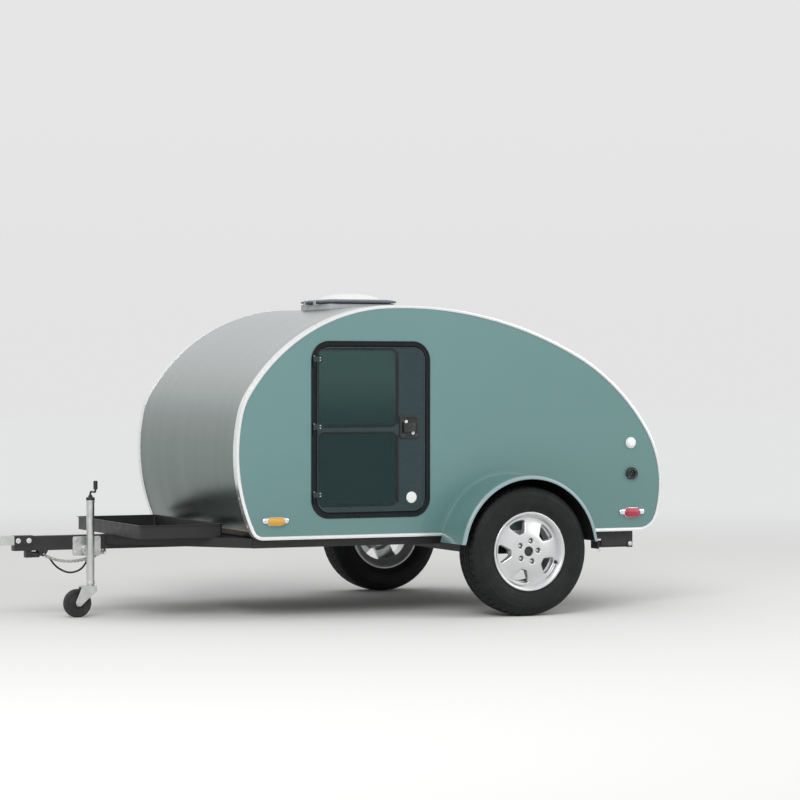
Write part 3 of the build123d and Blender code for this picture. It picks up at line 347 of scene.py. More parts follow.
def latch_black():
    """Smooth moulded black of the latch, a little polished by hands."""
    finish = plain("latch_black", (0.014, 0.015, 0.016), 0.32, 0.0, 0.0012, None, (45.0, 5.0, 0.24, 0.44),
                   (1100.0, 2.0, 0.00005))
    finish.paint(finish.worn(0.002), (0.06, 0.06, 0.06))
    return finish


def lens(name, colour):
    """Coloured lens with moulded flutes behind its face."""
    finish = Finish(name, colour, 0.12, transmission_weight=0.35, ior=1.49, coat_weight=0.5,
                    coat_roughness=0.05)
    flutes = finish.wave(60.0, bands_direction="X", wave_profile="TRI")
    finish.paint(finish.fade(flutes, 0.0, 1.0, 0.4, 0.0), tuple(0.55 * c for c in colour))
    finish.relief(flutes, 0.0008, 0.6)
    return finish


def door_metal(name, colour, shine):
    """Dark powder coat on the door's metal."""
    return plain(
        name, colour, 0.26, 0.0, 0.002, (11.0, 6.0, 0.45, 0.8, 0.3, tuple(c + 0.01 for c in colour)),
        (14.0, 5.0, 0.2, 0.36), (420.0, 2.0, 0.00006), specular_ior_level=shine, coat_weight=0.12,
        coat_roughness=0.12,
    )


def rubber(name, colour, roughness):
    """Tyre or seal rubber, greyed by dust."""
    return plain(
        name, colour, roughness, 0.0, 0.0, (16.0, 7.0, 0.4, 0.75, 0.5, tuple(2.1 * c for c in colour)),
        (40.0, 5.0, roughness - 0.12, roughness + 0.1), (650.0, 3.0, 0.0002), specular_ior_level=0.24,
    )


def plastic(name, colour, roughness, **sockets):
    """Moulded plastic with a fine grain."""
    worn_colour = tuple(0.8 * c + 0.01 for c in colour)
    return plain(
        name, colour, roughness, 0.0, 0.0015, (20.0, 5.0, 0.4, 0.8, 0.3, worn_colour),
        (60.0, 4.0, roughness * 0.8, roughness * 1.25), (900.0, 2.0, 0.00008), **sockets,
    )


finishes = {
    "frame_paint": frame_paint(),
    "zinc": zinc(),
    "body_paint": body_paint(),
    "skin": skin(),
    "board": board(),
    "floor_board": floor_board(),
    "cover": cover(),
    "door_frame": door_metal("door_frame", (0.016, 0.036, 0.04), 0.38),
    "door_flange": door_metal("door_flange", (0.004, 0.0075, 0.0085), 0.2),
    "pane": pane(),
    "alloy": alloy(),
    "tread": rubber("tread", (0.009, 0.0098, 0.0102), 0.62),
    "seal": rubber("seal", (0.013, 0.013, 0.014), 0.6),
    "cable": rubber("cable", (0.016, 0.016, 0.017), 0.5),
    "wheel_rubber": rubber("wheel_rubber", (0.03, 0.03, 0.031), 0.62),
    "piping": rubber("piping", (0.2, 0.2, 0.19), 0.8),
    "black_plastic": plastic("black_plastic", (0.02, 0.02, 0.021), 0.45),
    "white_plastic": plastic("white_plastic", (0.82, 0.83, 0.82), 0.22, coat_weight=0.3, coat_roughness=0.1),
    "lamp_white": plastic("lamp_white", (0.9, 0.92, 0.92), 0.2, coat_weight=0.4, coat_roughness=0.08),
    # Blue-grey of the vent's lid frame: painted shade, the shaded side of the white lid
    "vent_shade_grey": plastic("vent_shade_grey", (0.11, 0.13, 0.165), 0.4),
    "vent_curb": plastic("vent_curb", (0.4, 0.42, 0.43), 0.4),
    "amber": lens("amber", (0.96, 0.5, 0.045)),
    "red": lens("red", (0.6, 0.03, 0.075)),
    "coupler": coupler_finish(),
    "latch_black": latch_black(),
    # Bright anodised moulding, and the insert strip in it
    "trim": plain("trim", (0.86, 0.87, 0.875), 0.2, 0.85, 0.0015, None, (35.0, 4.0, 0.14, 0.3),
                  (500.0, 2.0, 0.00002)),
    "trim_insert": plain("trim_insert", (0.9, 0.905, 0.91), 0.16, 0.6, 0.0, None, (22.0, 4.0, 0.12, 0.24),
                         (600.0, 2.0, 0.00002), coat_weight=0.4, coat_roughness=0.08),
    # Turned edge of the rim
    "lip_metal": plain("lip_metal", (0.82, 0.83, 0.835), 0.16, 1.0, 0.0, None, (26.0, 5.0, 0.1, 0.26),
                       (700.0, 1.0, 0.00003), anisotropic=0.4),
    # Machined steel with a film of oil and rust specks
    "steel": plain("steel", (0.36, 0.36, 0.37), 0.38, 1.0, 0.002,
                   (70.0, 6.0, 0.62, 0.78, 0.6, (0.2, 0.11, 0.06)), (25.0, 5.0, 0.28, 0.52),
                   (400.0, 2.0, 0.0001)),
    # Bright plated metal with faint haze
    "chrome": plain("chrome", (0.88, 0.885, 0.89), 0.08, 1.0, 0.0, None, (60.0, 4.0, 0.05, 0.14),
                    (400.0, 1.0, 0.00001)),
    # Rough dusty black under the fender and on the wall beneath it: a dark sheet standing in for the shade under
    # the arch
    "arch_shade_black": plain("arch_shade_black", (0.008, 0.008, 0.009), 0.85, 0.0, 0.0,
                       (14.0, 6.0, 0.45, 0.8, 0.4, (0.03, 0.028, 0.026)), (30.0, 4.0, 0.75, 0.95),
                       (160.0, 5.0, 0.0012), specular_ior_level=0.2),
    # The fender's rolled edge, in a lighter, bluer copy of the body enamel: a painted highlight of the sky
    "wing_lip_highlight": plain("wing_lip_highlight", (0.27, 0.37, 0.39), 0.3, 0.0, 0.0,
                      (6.0, 4.0, 0.35, 0.75, 0.4, (0.22, 0.32, 0.34)), (12.0, 5.0, 0.24, 0.38),
                      (240.0, 1.0, 0.00004), coat_weight=0.6, coat_roughness=0.1),
}

# Each CAD node takes the finish of its material slot, but for three that show another one
own_finish = {"coupler": "coupler", "door_jambs": "door_flange", "vent_base": "vent_curb"}
for part in frame["record"]["subparts"]:
    node = nodes[part["node"]]
    node.data.materials.clear()
    finish = own_finish.get(part["node"], part["material_slot"])
    node.data.materials.append(finishes[finish].material)



# Mesh helpers


def finish_bmesh(bm, name, finish, body, smooth=35):
    """Turns a bmesh into a piece: faces outward, smooth up to an angle, with finish and body."""
    mesh = bpy.data.meshes.new(name)
    bmesh.ops.recalc_face_normals(bm, faces=bm.faces)
    bm.to_mesh(mesh)
    bm.free()
    mesh.materials.append(finishes[finish].material)
    for face in mesh.polygons:
        face.use_smooth = True
    mesh.set_sharp_from_angle(angle=radians(smooth))
    piece = bpy.data.objects.new(name, mesh)
    bpy.context.scene.collection.objects.link(piece)
    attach(piece, body)
    return piece


def frame_of(axis):
    """Two unit vectors square to an axis, and the axis itself."""
    axis = Vector(axis).normalized()
    side = axis.cross(Vector((0, 0, 1)))
    if side.length < 0.1:
        side = axis.cross(Vector((1, 0, 0)))
    side.normalize()
    return side, axis.cross(side), axis


def arc(at, radius, start, stop, steps, first=along_x, second=along_z):
    """steps + 1 points on an arc in the plane of two directions, its angles in radians."""
    angles = [start + (stop - start) * step / steps for step in range(steps + 1)]
    return [Vector(at) + (first * cos(angle) + second * sin(angle)) * radius for angle in angles]


def circle(at, radius, steps, first=along_x, second=along_z, start=0.0):
    return arc(at, radius, start, start + 2 * pi, steps, first, second)[:-1]


def add_rings(bm, rings, closed=False, capped=True):
    """Skins rings that have the same number of vertices. Closed joins the last ring to the first."""
    made = [[bm.verts.new(point) for point in ring] for ring in rings]
    count = len(made[0])
    for lower, upper in zip(made, made[1:] + made[:1] if closed else made[1:]):
        for index in range(count):
            after = (index + 1) % count
            bm.faces.new((lower[index], lower[after], upper[after], upper[index]))
    if capped and not closed:
        bm.faces.new(made[0])
        bm.faces.new(made[-1])


def add_lathe(bm, at, axis, profile, segments=32, start=0.0):
    """Turned solid: profile holds (radius, distance along the axis) from one end to the other."""
    side, up, axis = frame_of(axis)
    add_rings(bm, [
        circle(Vector(at) + axis * along, max(radius, 0.00001), segments, side, up, start)
        for radius, along in profile
    ])


def add_slab(bm, low, high, edge=0.0, segments=2, turn=None):
    """Block from its corners with rounded edges, turned by a matrix about its own middle."""
    low, high = Vector(low), Vector(high)
    middle = (low + high) / 2
    size = high - low
    matrix = Matrix.Translation(middle) @ (turn or Matrix.Identity(4)) @ Matrix.Diagonal((*size, 1))
    made = bmesh.ops.create_cube(bm, size=1.0, matrix=matrix)["verts"]
    if edge > 0:
        edges = list(dict.fromkeys(line for vertex in made for line in vertex.link_edges))
        bmesh.ops.bevel(bm, geom=edges, offset=edge, segments=segments, profile=0.5, affect="EDGES")


def add_block(bm, low, high, sign, edge=0.0, segments=2, turn=None):
    """Slab whose two Y values are distances out on one side of the trailer, in either order."""
    near, far = sorted((sign * low[1], sign * high[1]))
    add_slab(bm, (low[0], near, low[2]), (high[0], far, high[2]), edge, segments, turn)


def add_tube(bm, path, radius, segments=12, closed=False):
    """Round bar along a line of points. radius may be a list, one for each point."""
    points = [Vector(point) for point in path]
    count = len(points)
    radii = radius if isinstance(radius, (list, tuple)) else [radius] * count
    rings = []
    side = None
    for index, point in enumerate(points):
        if closed:
            way = points[(index + 1) % count] - points[index - 1]
        else:
            way = points[min(index + 1, count - 1)] - points[max(index - 1, 0)]
        way.normalize()
        if side is None:
            side = frame_of(way)[0]
        side = (side - way * side.dot(way)).normalized()
        rings.append(circle(point, radii[index], segments, side, way.cross(side)))
    add_rings(bm, rings, closed=closed)


def add_bolt(bm, at, axis, size):
    """Hexagon head on a washer. size is the head's half width."""
    base = size * 0.27
    add_lathe(bm, at, axis, [
        (0.0, 0.0), (size * 1.75, 0.0), (size * 1.75, size * 0.2), (size * 1.65, size * 0.28),
        (0.0, size * 0.28),
    ], 20)
    add_lathe(bm, at, axis, [
        (0.0, base), (size * 1.15, base), (size * 1.15, base + size * 0.72),
        (size * 0.98, base + size * 0.86), (0.0, base + size * 0.86),
    ], 6)


def add_screw(bm, at, axis, radius):
    """Pan head with a hexagon socket."""
    add_lathe(bm, at, axis, [
        (radius, 0.0), (radius, radius * 0.25), (radius * 0.86, radius * 0.5), (radius * 0.6, radius * 0.62),
        (radius * 0.42, radius * 0.62), (radius * 0.4, radius * 0.2), (0.0, radius * 0.2),
    ], 12)


def round_rectangle(middle_x, middle_z, half_x, half_z, radius, corner):
    """Points of a rounded rectangle in X and Z, each with its outward direction, anticlockwise from +X."""
    points = []
    for index, (sign_x, sign_z) in enumerate(((1, 1), (-1, 1), (-1, -1), (1, -1))):
        centre = (middle_x + sign_x * (half_x - radius), middle_z + sign_z * (half_z - radius))
        for step in range(corner + 1):
            angle = pi / 2 * (index + step / corner)
            out = (cos(angle), sin(angle))
            points.append((centre[0] + radius * out[0], centre[1] + radius * out[1], *out))
    return points


def add_moulding(bm, path, section):
    """Sweeps a section, (distance outward, Y), round a closed path of (x, z, outward x, outward z)."""
    add_rings(bm, [
        [Vector((x + out_x * out, y, z + out_z * out)) for out, y in section] for x, z, out_x, out_z in path
    ], closed=True)


def bead_section(out, y, half_out, rise, sign, root=0.0006):
    """Half round section that stands out of a plane at y, towards the sign, sunk in by its root."""
    bow = arc((out, y), 1.0, pi, 0, 6, Vector((half_out, 0)), Vector((0, sign * rise)))
    return [(out - half_out, y - sign * root), *bow, (out + half_out, y - sign * root)]


# Wheels: treaded tyres, cast rims, nuts, caps and valves

tyre_low, tyre_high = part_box("left_tyre")
tyre_radius = (tyre_high.z - tyre_low.z) / 2
wheel_y = -(tyre_high.y + tyre_low.y) / 2
rim_radius = (rim_high.x - rim_low.x) / 2
rim_half = (rim_high.y - rim_low.y) / 2

# Outer half of the tyre's section from the bead to the tread's edge: radius, distance out
sidewall = (
    (0.1914, 0.0738), (0.197, 0.0765), (0.2065, 0.0792), (0.2122, 0.0812), (0.2136, 0.085), (0.2168, 0.0866),
    (0.2202, 0.0858), (0.2225, 0.0872), (0.231, 0.0916), (0.2412, 0.0955), (0.2424, 0.0968), (0.244, 0.0972),
    (0.2452, 0.0966), (0.248, 0.0978), (0.26, 0.1005), (0.272, 0.1018), (0.284, 0.1019), (0.2945, 0.1006),
    (0.2968, 0.1013), (0.2984, 0.1008), (0.2996, 0.0994), (0.306, 0.0972), (0.3135, 0.0938),
    (0.3196, 0.0903), (0.3212, 0.0912), (0.3262, 0.0878), (0.331, 0.0838), (0.3352, 0.0792),
    (0.338, 0.0748), (0.3399, 0.0706),
)
tread_half = 0.0672
crown_drop = 0.0034
groove_depth = 0.0078
groove_half = 0.0042
groove_wall = 0.001
groove_places = (0.0178, 0.0432)
zigzag = 0.0016
pitches = 54
# One pitch of the tread: share of the pitch, depth of the shoulder slot, depth of the middle sipe
pitch_steps = (
    (0.0, 0.0, 0.0), (0.04, 1.0, 0.0), (0.16, 1.0, 0.0), (0.2, 0.0, 0.0), (0.56, 0.0, 1.0), (0.6, 0.0, 0.0),
)
slot_depth = 0.0052
sipe_depth = 0.0032


def tread_section():
    """Outer half of the tread, edge to middle: radius below the crown, distance out, kind of rib."""
    section = []
    for share in (1.0, 0.95, 0.86, 0.76):
        section.append((0.0, tread_half * share, "shoulder"))
    for place in reversed(groove_places):
        inner_rib = "middle" if place == groove_places[0] else "second"
        outer_rib = "second" if place == groove_places[0] else "shoulder"
        section += [
            (0.0, place + groove_half + groove_wall, outer_rib),
            (groove_depth, place + groove_half, "groove"), (groove_depth, place - groove_half, "groove"),
            (0.0, place - groove_half - groove_wall, inner_rib),
        ]
        section.append((0.0, place - 0.011, inner_rib))
    section.append((0.0, 0.0, "middle"))
    return section


def make_tyre(side, sign):
    centre = Vector((axle_x, sign * wheel_y, axle_z))
    half = [(radius, out, "wall") for radius, out in sidewall]
    for drop, out, kind in tread_section():
        crown = tyre_radius - crown_drop * (out / tread_half) ** 2
        half.append((crown - drop, out, kind))
    section = half + [(radius, -out, kind) for radius, out, kind in reversed(half[:-1])]
    rings = []
    for pitch in range(pitches):
        for share, slot, sipe in pitch_steps:
            angle = 2 * pi * (pitch + share) / pitches
            shift = zigzag * (1 - 4 * abs(share - 0.5))
            ring = []
            for radius, out, kind in section:
                place = out + (shift if kind != "wall" and abs(out) < 0.6 * tread_half else 0.0)
                if kind == "shoulder" or (kind == "wall" and radius > 0.3352):
                    radius -= slot_depth * slot
                elif kind in ("second", "middle"):
                    radius -= sipe_depth * sipe
                ring.append(centre + Vector((radius * cos(angle), sign * place, radius * sin(angle))))
            rings.append(ring)
    bm = bmesh.new()
    add_rings(bm, rings, closed=True)
    piece = finish_bmesh(bm, side + "_tyre_tread", "tread", side + "_wheel", 28)
    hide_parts(side + "_tyre")


# Cast face: five windows between broad spokes
spokes = 5
window_heading = radians(40)
sector = 2 * pi / spokes
pad_radius = 0.083
face_radius = 0.1835
bore_radius = 0.0262
pad_out = 0.075
rim_out = 0.052
back_out = 0.03
pad_back = 0.0052
pocket_out = 0.012
window_inner = 0.101
window_outer = 0.169
window_inner_half = 0.0165
window_outer_half = 0.0535
window_corner = 0.011
lug_circle = 0.05715
well_radius = 0.168
pocket_radius = 0.0138
arc_steps = 24


def rounded_loop(corners, radii, corner_steps=5):
    """Closed 2-D loop through corners, each with its own radius, and the index of each corner's middle."""
    loop, middles = [], []
    count = len(corners)
    for index, corner in enumerate(corners):
        before = (corners[index - 1] - corner).normalized()
        after = (corners[(index + 1) % count] - corner).normalized()
        half = before.angle(after) / 2
        reach = radii[index] / tan(half)
        middle = corner + (before + after).normalized() * (radii[index] / sin(half))
        first = corner + before * reach - middle
        turn = pi - 2 * half
        side = 1 if before.cross(after) < 0 else -1
        loop += arc(middle, 1.0, 0, side * turn, corner_steps, first, Vector((-first.y, first.x)))
        middles.append(len(loop) - corner_steps // 2 - 1)
    return loop, middles


def spread_along(points, count):
    """count + 1 points, evenly spaced along a line of points."""
    lengths = [0.0]
    for first, second in zip(points, points[1:]):
        lengths.append(lengths[-1] + (second - first).length)
    spread = []
    index = 0
    for step in range(count + 1):
        target = lengths[-1] * step / count
        while index < len(points) - 2 and lengths[index + 1] < target:
            index += 1
        span = lengths[index + 1] - lengths[index]
        share = (target - lengths[index]) / span if span > 0 else 0.0
        spread.append(points[index].lerp(points[index + 1], min(1.0, share)))
    return spread


def ease(value):
    """Smooth step from 0 to 1."""
    value = min(1.0, max(0.0, value))
    return value * value * (3 - 2 * value)


def face_height(radius):
    """How far out the cast face stands at a radius."""
    return pad_out - (pad_out - rim_out) * ease((radius - 0.068) / (face_radius - 0.068))


def back_height(radius):
    """How far out the back of the face stands at a radius."""
    return pad_back + (back_out - pad_back) * ease((radius - 0.082) / 0.022)


def flat_arc(middle_x, radius, start, stop, steps):
    """steps + 1 points on an arc in the wheel's own plane."""
    return arc((middle_x, 0), radius, start, stop, steps, Vector((1, 0)), Vector((0, 1)))


def sector_boundary(inner, outer, side_steps):
    """Sector's closed outline about heading 0: outer arc, far side, inner arc, near side."""
    half = sector / 2
    outer_arc = flat_arc(0.0, outer, -half, half, arc_steps)
    inner_arc = flat_arc(0.0, inner, half, -half, arc_steps)
    far = [outer_arc[-1].lerp(inner_arc[0], step / side_steps) for step in range(side_steps + 1)]
    near = [inner_arc[-1].lerp(outer_arc[0], step / side_steps) for step in range(side_steps + 1)]
    return outer_arc[:-1] + far[:-1] + inner_arc[:-1] + near[:-1]


def window_loop(side_steps):
    """A window's outline, with as many points to each side as its sector has."""
    corners = [
        Vector((window_outer - 0.008, -window_outer_half)), Vector((window_outer, -0.016)),
        Vector((window_outer, 0.016)), Vector((window_outer - 0.008, window_outer_half)),
        Vector((window_inner, window_inner_half)), Vector((window_inner, -window_inner_half)),
    ]
    radii = (window_corner, 0.08, 0.08, window_corner, window_corner, window_corner)
    loop, middles = rounded_loop(corners, radii)
    first, last, inner_first, inner_last = middles[0], *middles[3:]
    outer = loop[first:last + 1]
    far = loop[last:inner_first + 1]
    inner = loop[inner_first:inner_last + 1]
    near = loop[inner_last:] + loop[:first + 1]
    runs = []
    for run, count in ((outer, arc_steps), (far, side_steps), (inner, arc_steps), (near, side_steps)):
        runs += spread_along(run, count)[:-1]
    return runs


def pocket_loop(side_steps):
    """A lug's round pocket, with as many points to each part as its sector has."""
    counts = (arc_steps, side_steps, arc_steps, side_steps)
    marks = [radians(angle) for angle in (-52, 52, 128, 232, 308)]
    loop = []
    for start, stop, count in zip(marks, marks[1:], counts):
        loop += flat_arc(lug_circle, pocket_radius, start, stop, count)[:-1]
    return loop


# Steps of a panel: up the hole's wall, over its rounded edge, across the face, and across the back
wall_shares = (0.0, 0.35, 0.7, 1.0)
edge_steps = (0.0006, 0.0016, 0.003, 0.0046, 0.0066)
face_shares = (0.12, 0.26, 0.42, 0.6, 0.8, 1.0)
back_shares = (0.0, 0.3, 0.65, 1.0)
wall_draft = 0.0012
round_off = 0.006


def add_panel(bm, hole, boundary, bottom, place):
    """One sector of the face round its hole. place puts a flat point and its distance out into the wheel."""
    columns = []
    for before, point, after, edge in zip(hole[-1:] + hole[:-1], hole, hole[1:] + hole[:1], boundary):
        along = (after - before).normalized()
        away = Vector((along.y, -along.x))
        columns.append((point, -away if away.dot(edge - point) < 0 else away, edge))
    rings = []
    for share in wall_shares:
        rings.append([
            place(point - away * wall_draft * (1 - share),
                  bottom + (face_height(point.length) - round_off - bottom) * share)
            for point, away, _ in columns
        ])
    for step in edge_steps:
        drop = round_off - sqrt(round_off ** 2 - (round_off - min(step, round_off)) ** 2)
        spots = [point + away * step for point, away, _ in columns]
        rings.append([place(spot, face_height(spot.length) - drop) for spot in spots])
    for share in face_shares:
        spots = [(point + away * edge_steps[-1]).lerp(edge, share) for point, away, edge in columns]
        rings.append([place(spot, face_height(spot.length)) for spot in spots])
    add_rings(bm, rings, capped=False)
    back = [[place(point - away * wall_draft, bottom) for point, away, _ in columns]]
    for share in back_shares[1:]:
        spots = [point.lerp(edge, share) for point, _, edge in columns]
        back.append([place(spot, min(bottom, back_height(spot.length))) for spot in spots])
    add_rings(bm, back, capped=False)


def make_casting(side, sign):
    """The wheel's face and its turned barrel as one closed casting."""
    centre = Vector((axle_x, sign * wheel_y, axle_z))
    bm = bmesh.new()
    window_sides, lug_sides = 14, 9
    panels = (
        (window_loop(window_sides), sector_boundary(pad_radius, face_radius, window_sides), 0.0, back_out),
        (pocket_loop(lug_sides), sector_boundary(bore_radius, pad_radius, lug_sides), sector / 2,
         pocket_out),
    )
    for spoke in range(spokes):
        for hole, boundary, turn, bottom in panels:
            heading = window_heading + sector * spoke + turn
            first, second = Vector((cos(heading), 0, sin(heading))), Vector((-sin(heading), 0, cos(heading)))
            add_panel(bm, hole, boundary, bottom,
                      lambda spot, out: centre + first * spot.x + second * spot.y + along_y * sign * out)
    # Centre bore's wall and the face's outer edge
    bore_wall = (bore_radius, face_height(bore_radius), pad_back)
    around, start = arc_steps * spokes, window_heading - sector / 2
    for radius, high, low in (bore_wall, (face_radius, rim_out, back_out)):
        add_rings(bm, [
            circle(centre + along_y * sign * out, radius, around, start=start) for out in (high, low)
        ], capped=False)
    bmesh.ops.remove_doubles(bm, verts=bm.verts, dist=0.00002)
    # Barrel: its section as radius and distance out
    bead, flange = rim_radius - 0.0205, rim_radius
    section = (
        (flange - 0.0006, rim_half - 0.0012), (flange, rim_half - 0.003),
        (flange - 0.0006, rim_half - 0.0055), (flange - 0.007, rim_half - 0.0075),
        (bead + 0.004, rim_half - 0.0105), (bead, rim_half - 0.014), (bead - 0.0015, rim_half - 0.034),
        (well_radius, rim_half - 0.052), (well_radius, 0.0), (bead - 0.002, -0.03),
        (bead, 0.014 - rim_half), (bead + 0.004, 0.0105 - rim_half), (flange - 0.007, 0.0075 - rim_half),
        (flange, 0.0055 - rim_half), (flange, 0.001 - rim_half), (flange - 0.004, -rim_half),
        (bead + 0.009, 0.001 - rim_half), (bead - 0.005, 0.016 - rim_half),
        (well_radius - 0.008, 0.036 - rim_half), (well_radius - 0.008, -0.006),
        (well_radius - 0.006, 0.018), (face_radius - 0.001, 0.028), (face_radius - 0.0015, 0.056),
        (bead - 0.0055, rim_half - 0.02), (bead + 0.001, rim_half - 0.011),
        (bead + 0.0075, rim_half - 0.0035), (bead + 0.0105, rim_half - 0.0008), (flange - 0.0035, rim_half),
    )
    add_rings(bm, [
        circle(centre + along_y * sign * out, radius, 144) for radius, out in section
    ], closed=True)
    piece = finish_bmesh(bm, side + "_wheel_casting", "alloy", side + "_wheel", 40)
    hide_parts(side + "_rim")


def make_wheel_fittings(side, sign):
    centre = Vector((axle_x, sign * wheel_y, axle_z))
    outward = Vector((0, sign, 0))
    # Polished band round the rim's edge
    bm = bmesh.new()
    flange = rim_radius
    section = (
        (flange - 0.0052, rim_half - 0.001), (flange - 0.004, rim_half - 0.0001),
        (flange - 0.0022, rim_half), (flange - 0.0008, rim_half - 0.0011),
        (flange - 0.0006, rim_half - 0.003), (flange - 0.0046, rim_half - 0.004),
    )
    add_rings(bm, [
        circle(centre + along_y * sign * out, radius, 120) for radius, out in section
    ], closed=True)
    finish_bmesh(bm, side + "_rim_band", "lip_metal", side + "_wheel", 50)
    # Nuts with domed ends on their cones
    bm = bmesh.new()
    for lug, at in enumerate(circle(centre, lug_circle, spokes, start=window_heading + sector / 2)):
        heading = window_heading + sector * (lug + 0.5)
        add_lathe(bm, at, outward, [
            (0.0, 0.030), (0.0085, 0.030), (0.0135, 0.0355), (0.0135, 0.0375), (0.0, 0.0375),
        ], 24)
        add_lathe(bm, at, outward, [
            (0.0, 0.037), (0.0106, 0.037), (0.0112, 0.0378), (0.0112, 0.0515), (0.0103, 0.053), (0.0, 0.053),
        ], 6, heading)
        add_lathe(bm, at, outward, [
            (0.0, 0.052), (0.0096, 0.052), (0.0094, 0.0565), (0.0078, 0.0602), (0.0048, 0.0624),
            (0.0, 0.063),
        ], 24)
    finish_bmesh(bm, side + "_wheel_nuts", "zinc", side + "_wheel", 30)
    # Cap pressed into the bore
    bm = bmesh.new()
    radius = bore_radius - 0.0004
    add_lathe(bm, centre, outward, [
        (0.0, 0.054), (radius, 0.054), (radius, 0.0665), (radius - 0.0008, 0.068), (radius - 0.0028, 0.0686),
        (radius - 0.0046, 0.0678), (radius - 0.0052, 0.0662), (radius - 0.009, 0.0668),
        (radius - 0.014, 0.0676), (radius - 0.02, 0.0681), (0.0, 0.0683),
    ], 48)
    finish_bmesh(bm, side + "_wheel_cap", "black_plastic", side + "_wheel", 35)
    # Valve through the barrel beside a spoke
    bm = bmesh.new()
    heading = window_heading + sector * 4 + radians(12)
    way = Vector((cos(heading), 0, sin(heading)))
    foot = centre + way * 0.178 + outward * 0.062
    lean = (outward * 0.9 - way * 0.42).normalized()
    add_lathe(bm, foot, lean, [
        (0.0, -0.006), (0.0085, -0.006), (0.0085, 0.001), (0.0062, 0.004), (0.005, 0.009), (0.0042, 0.016),
        (0.0039, 0.02), (0.0, 0.02),
    ], 20)
    finish_bmesh(bm, side + "_valve_stem", "seal", side + "_wheel", 40)
    bm = bmesh.new()
    add_lathe(bm, foot, lean, [
        (0.0, 0.019), (0.0043, 0.019), (0.0043, 0.0262), (0.0035, 0.0275), (0.0, 0.0278),
    ], 12)
    finish_bmesh(bm, side + "_valve_cap", "black_plastic", side + "_wheel", 30)


for side, sign in sides:
    make_tyre(side, sign)
    make_casting(side, sign)
    make_wheel_fittings(side, sign)


# Fenders with a rolled edge, black inside as painted shade


def add_stack(bm, outlines):
    """Stacked closed outlines in X and Z. Each row is (path, shift outward, Y)."""
    add_rings(bm, [
        [Vector((x + out_x * out, y, z + out_z * out)) for x, z, out_x, out_z in path]
        for path, out, y in outlines
    ])


wing_low, wing_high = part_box("fenders")
wing_radius = wing_high.z - axle_z - 0.022
wing_outer = wing_high.y
wing_steps = 96
flange_foot = trim_low.z + 0.022
shade_panel_inner_radius = 0.31

# Sections of a fender's parts: distance from the trailer's middle, radius over the sheet's
wing_sheet = (
    (trim_face + 0.0008, 0.0), (wing_outer - 0.02, 0.0), (wing_outer - 0.014, -0.0008),
    (wing_outer - 0.014, -0.004), (wing_outer - 0.02, -0.0032), (trim_face + 0.0008, -0.0032),
)
wing_flange = (
    (wall_outer + 0.0002, -0.003), (wall_outer + 0.0002, 0.0205), (wall_outer + 0.0027, 0.022),
    (wall_outer + 0.0042, 0.0205), (wall_outer + 0.0042, 0.006), (wall_outer + 0.0062, -0.001),
    (wall_outer + 0.0072, -0.003),
)
wing_edge = (
    (wing_outer - 0.0155, 0.0001), (wing_outer - 0.011, -0.0004), (wing_outer - 0.0065, -0.002),
    (wing_outer - 0.003, -0.0048), (wing_outer - 0.0008, -0.0088), (wing_outer, -0.0135),
    (wing_outer - 0.0004, -0.0178), (wing_outer - 0.0022, -0.0202), (wing_outer - 0.005, -0.0202),
    (wing_outer - 0.0066, -0.0182), (wing_outer - 0.0056, -0.0148), (wing_outer - 0.0052, -0.012),
    (wing_outer - 0.0078, -0.0068), (wing_outer - 0.0155, -0.0042),
)
wing_shade_liner = (
    (trim_face + 0.002, -0.0034), (wing_outer - 0.0165, -0.0034), (wing_outer - 0.0078, -0.0082),
    (wing_outer - 0.0078, -0.0112), (wing_outer - 0.018, -0.0055), (trim_face + 0.002, -0.0055),
)
arch_shade_panel = (
    (wall_outer + 0.0002, -0.0045), (wall_outer + 0.0022, -0.0045),
    (wall_outer + 0.0022, shade_panel_inner_radius - wing_radius),
    (wall_outer + 0.0002, shade_panel_inner_radius - wing_radius),
)


def add_arch(bm, section, sign, foot, flare=0.0, steps=wing_steps):
    """Sweeps a section over the wheel, down to a foot height on both sides, and flares it at its ends."""
    rings = []
    for step in range(steps + 1):
        share = step / steps
        spread = flare * max(0.0, 1 - 32 * min(share, 1 - share)) ** 2
        ring = []
        for y, change in section:
            radius = wing_radius + change
            low = asin((foot - axle_z) / radius)
            angle = low + (pi - 2 * low) * share
            x = axle_x + radius * cos(angle) + copysign(spread, cos(angle))
            ring.append((x, sign * y, axle_z + radius * sin(angle)))
        rings.append(ring)
    add_rings(bm, rings)


def make_fender(side, sign):
    bm = bmesh.new()
    add_arch(bm, wing_sheet, sign, wing_low.z, 0.004)
    # Flange bolted to the wall above the trim
    add_arch(bm, wing_flange, sign, flange_foot)
    piece = finish_bmesh(bm, side + "_fender", "body_paint", "trailer", 30)
    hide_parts("fenders")
    # Rolled edge, lighter than the sheet as a painted highlight
    bm = bmesh.new()
    add_arch(bm, wing_edge, sign, wing_low.z, 0.004)
    finish_bmesh(bm, side + "_fender_edge", "wing_lip_highlight", "trailer", 60)
    # Black liner under the sheet: painted shade under the arch
    bm = bmesh.new()
    add_arch(bm, wing_shade_liner, sign, wing_low.z + 0.003, 0.004)
    finish_bmesh(bm, side + "_fender_arch_shade_black", "arch_shade_black", "trailer", 30)
    # Black panel on the wall under the arch, a dark sheet standing in for the arch's shade
    bm = bmesh.new()
    add_arch(bm, arch_shade_panel, sign, flange_foot + 0.001, steps=48)
    finish_bmesh(bm, side + "_arch_shade_panel", "arch_shade_black", "trailer", 30)


# The body's outline from the edge moulding's own mesh


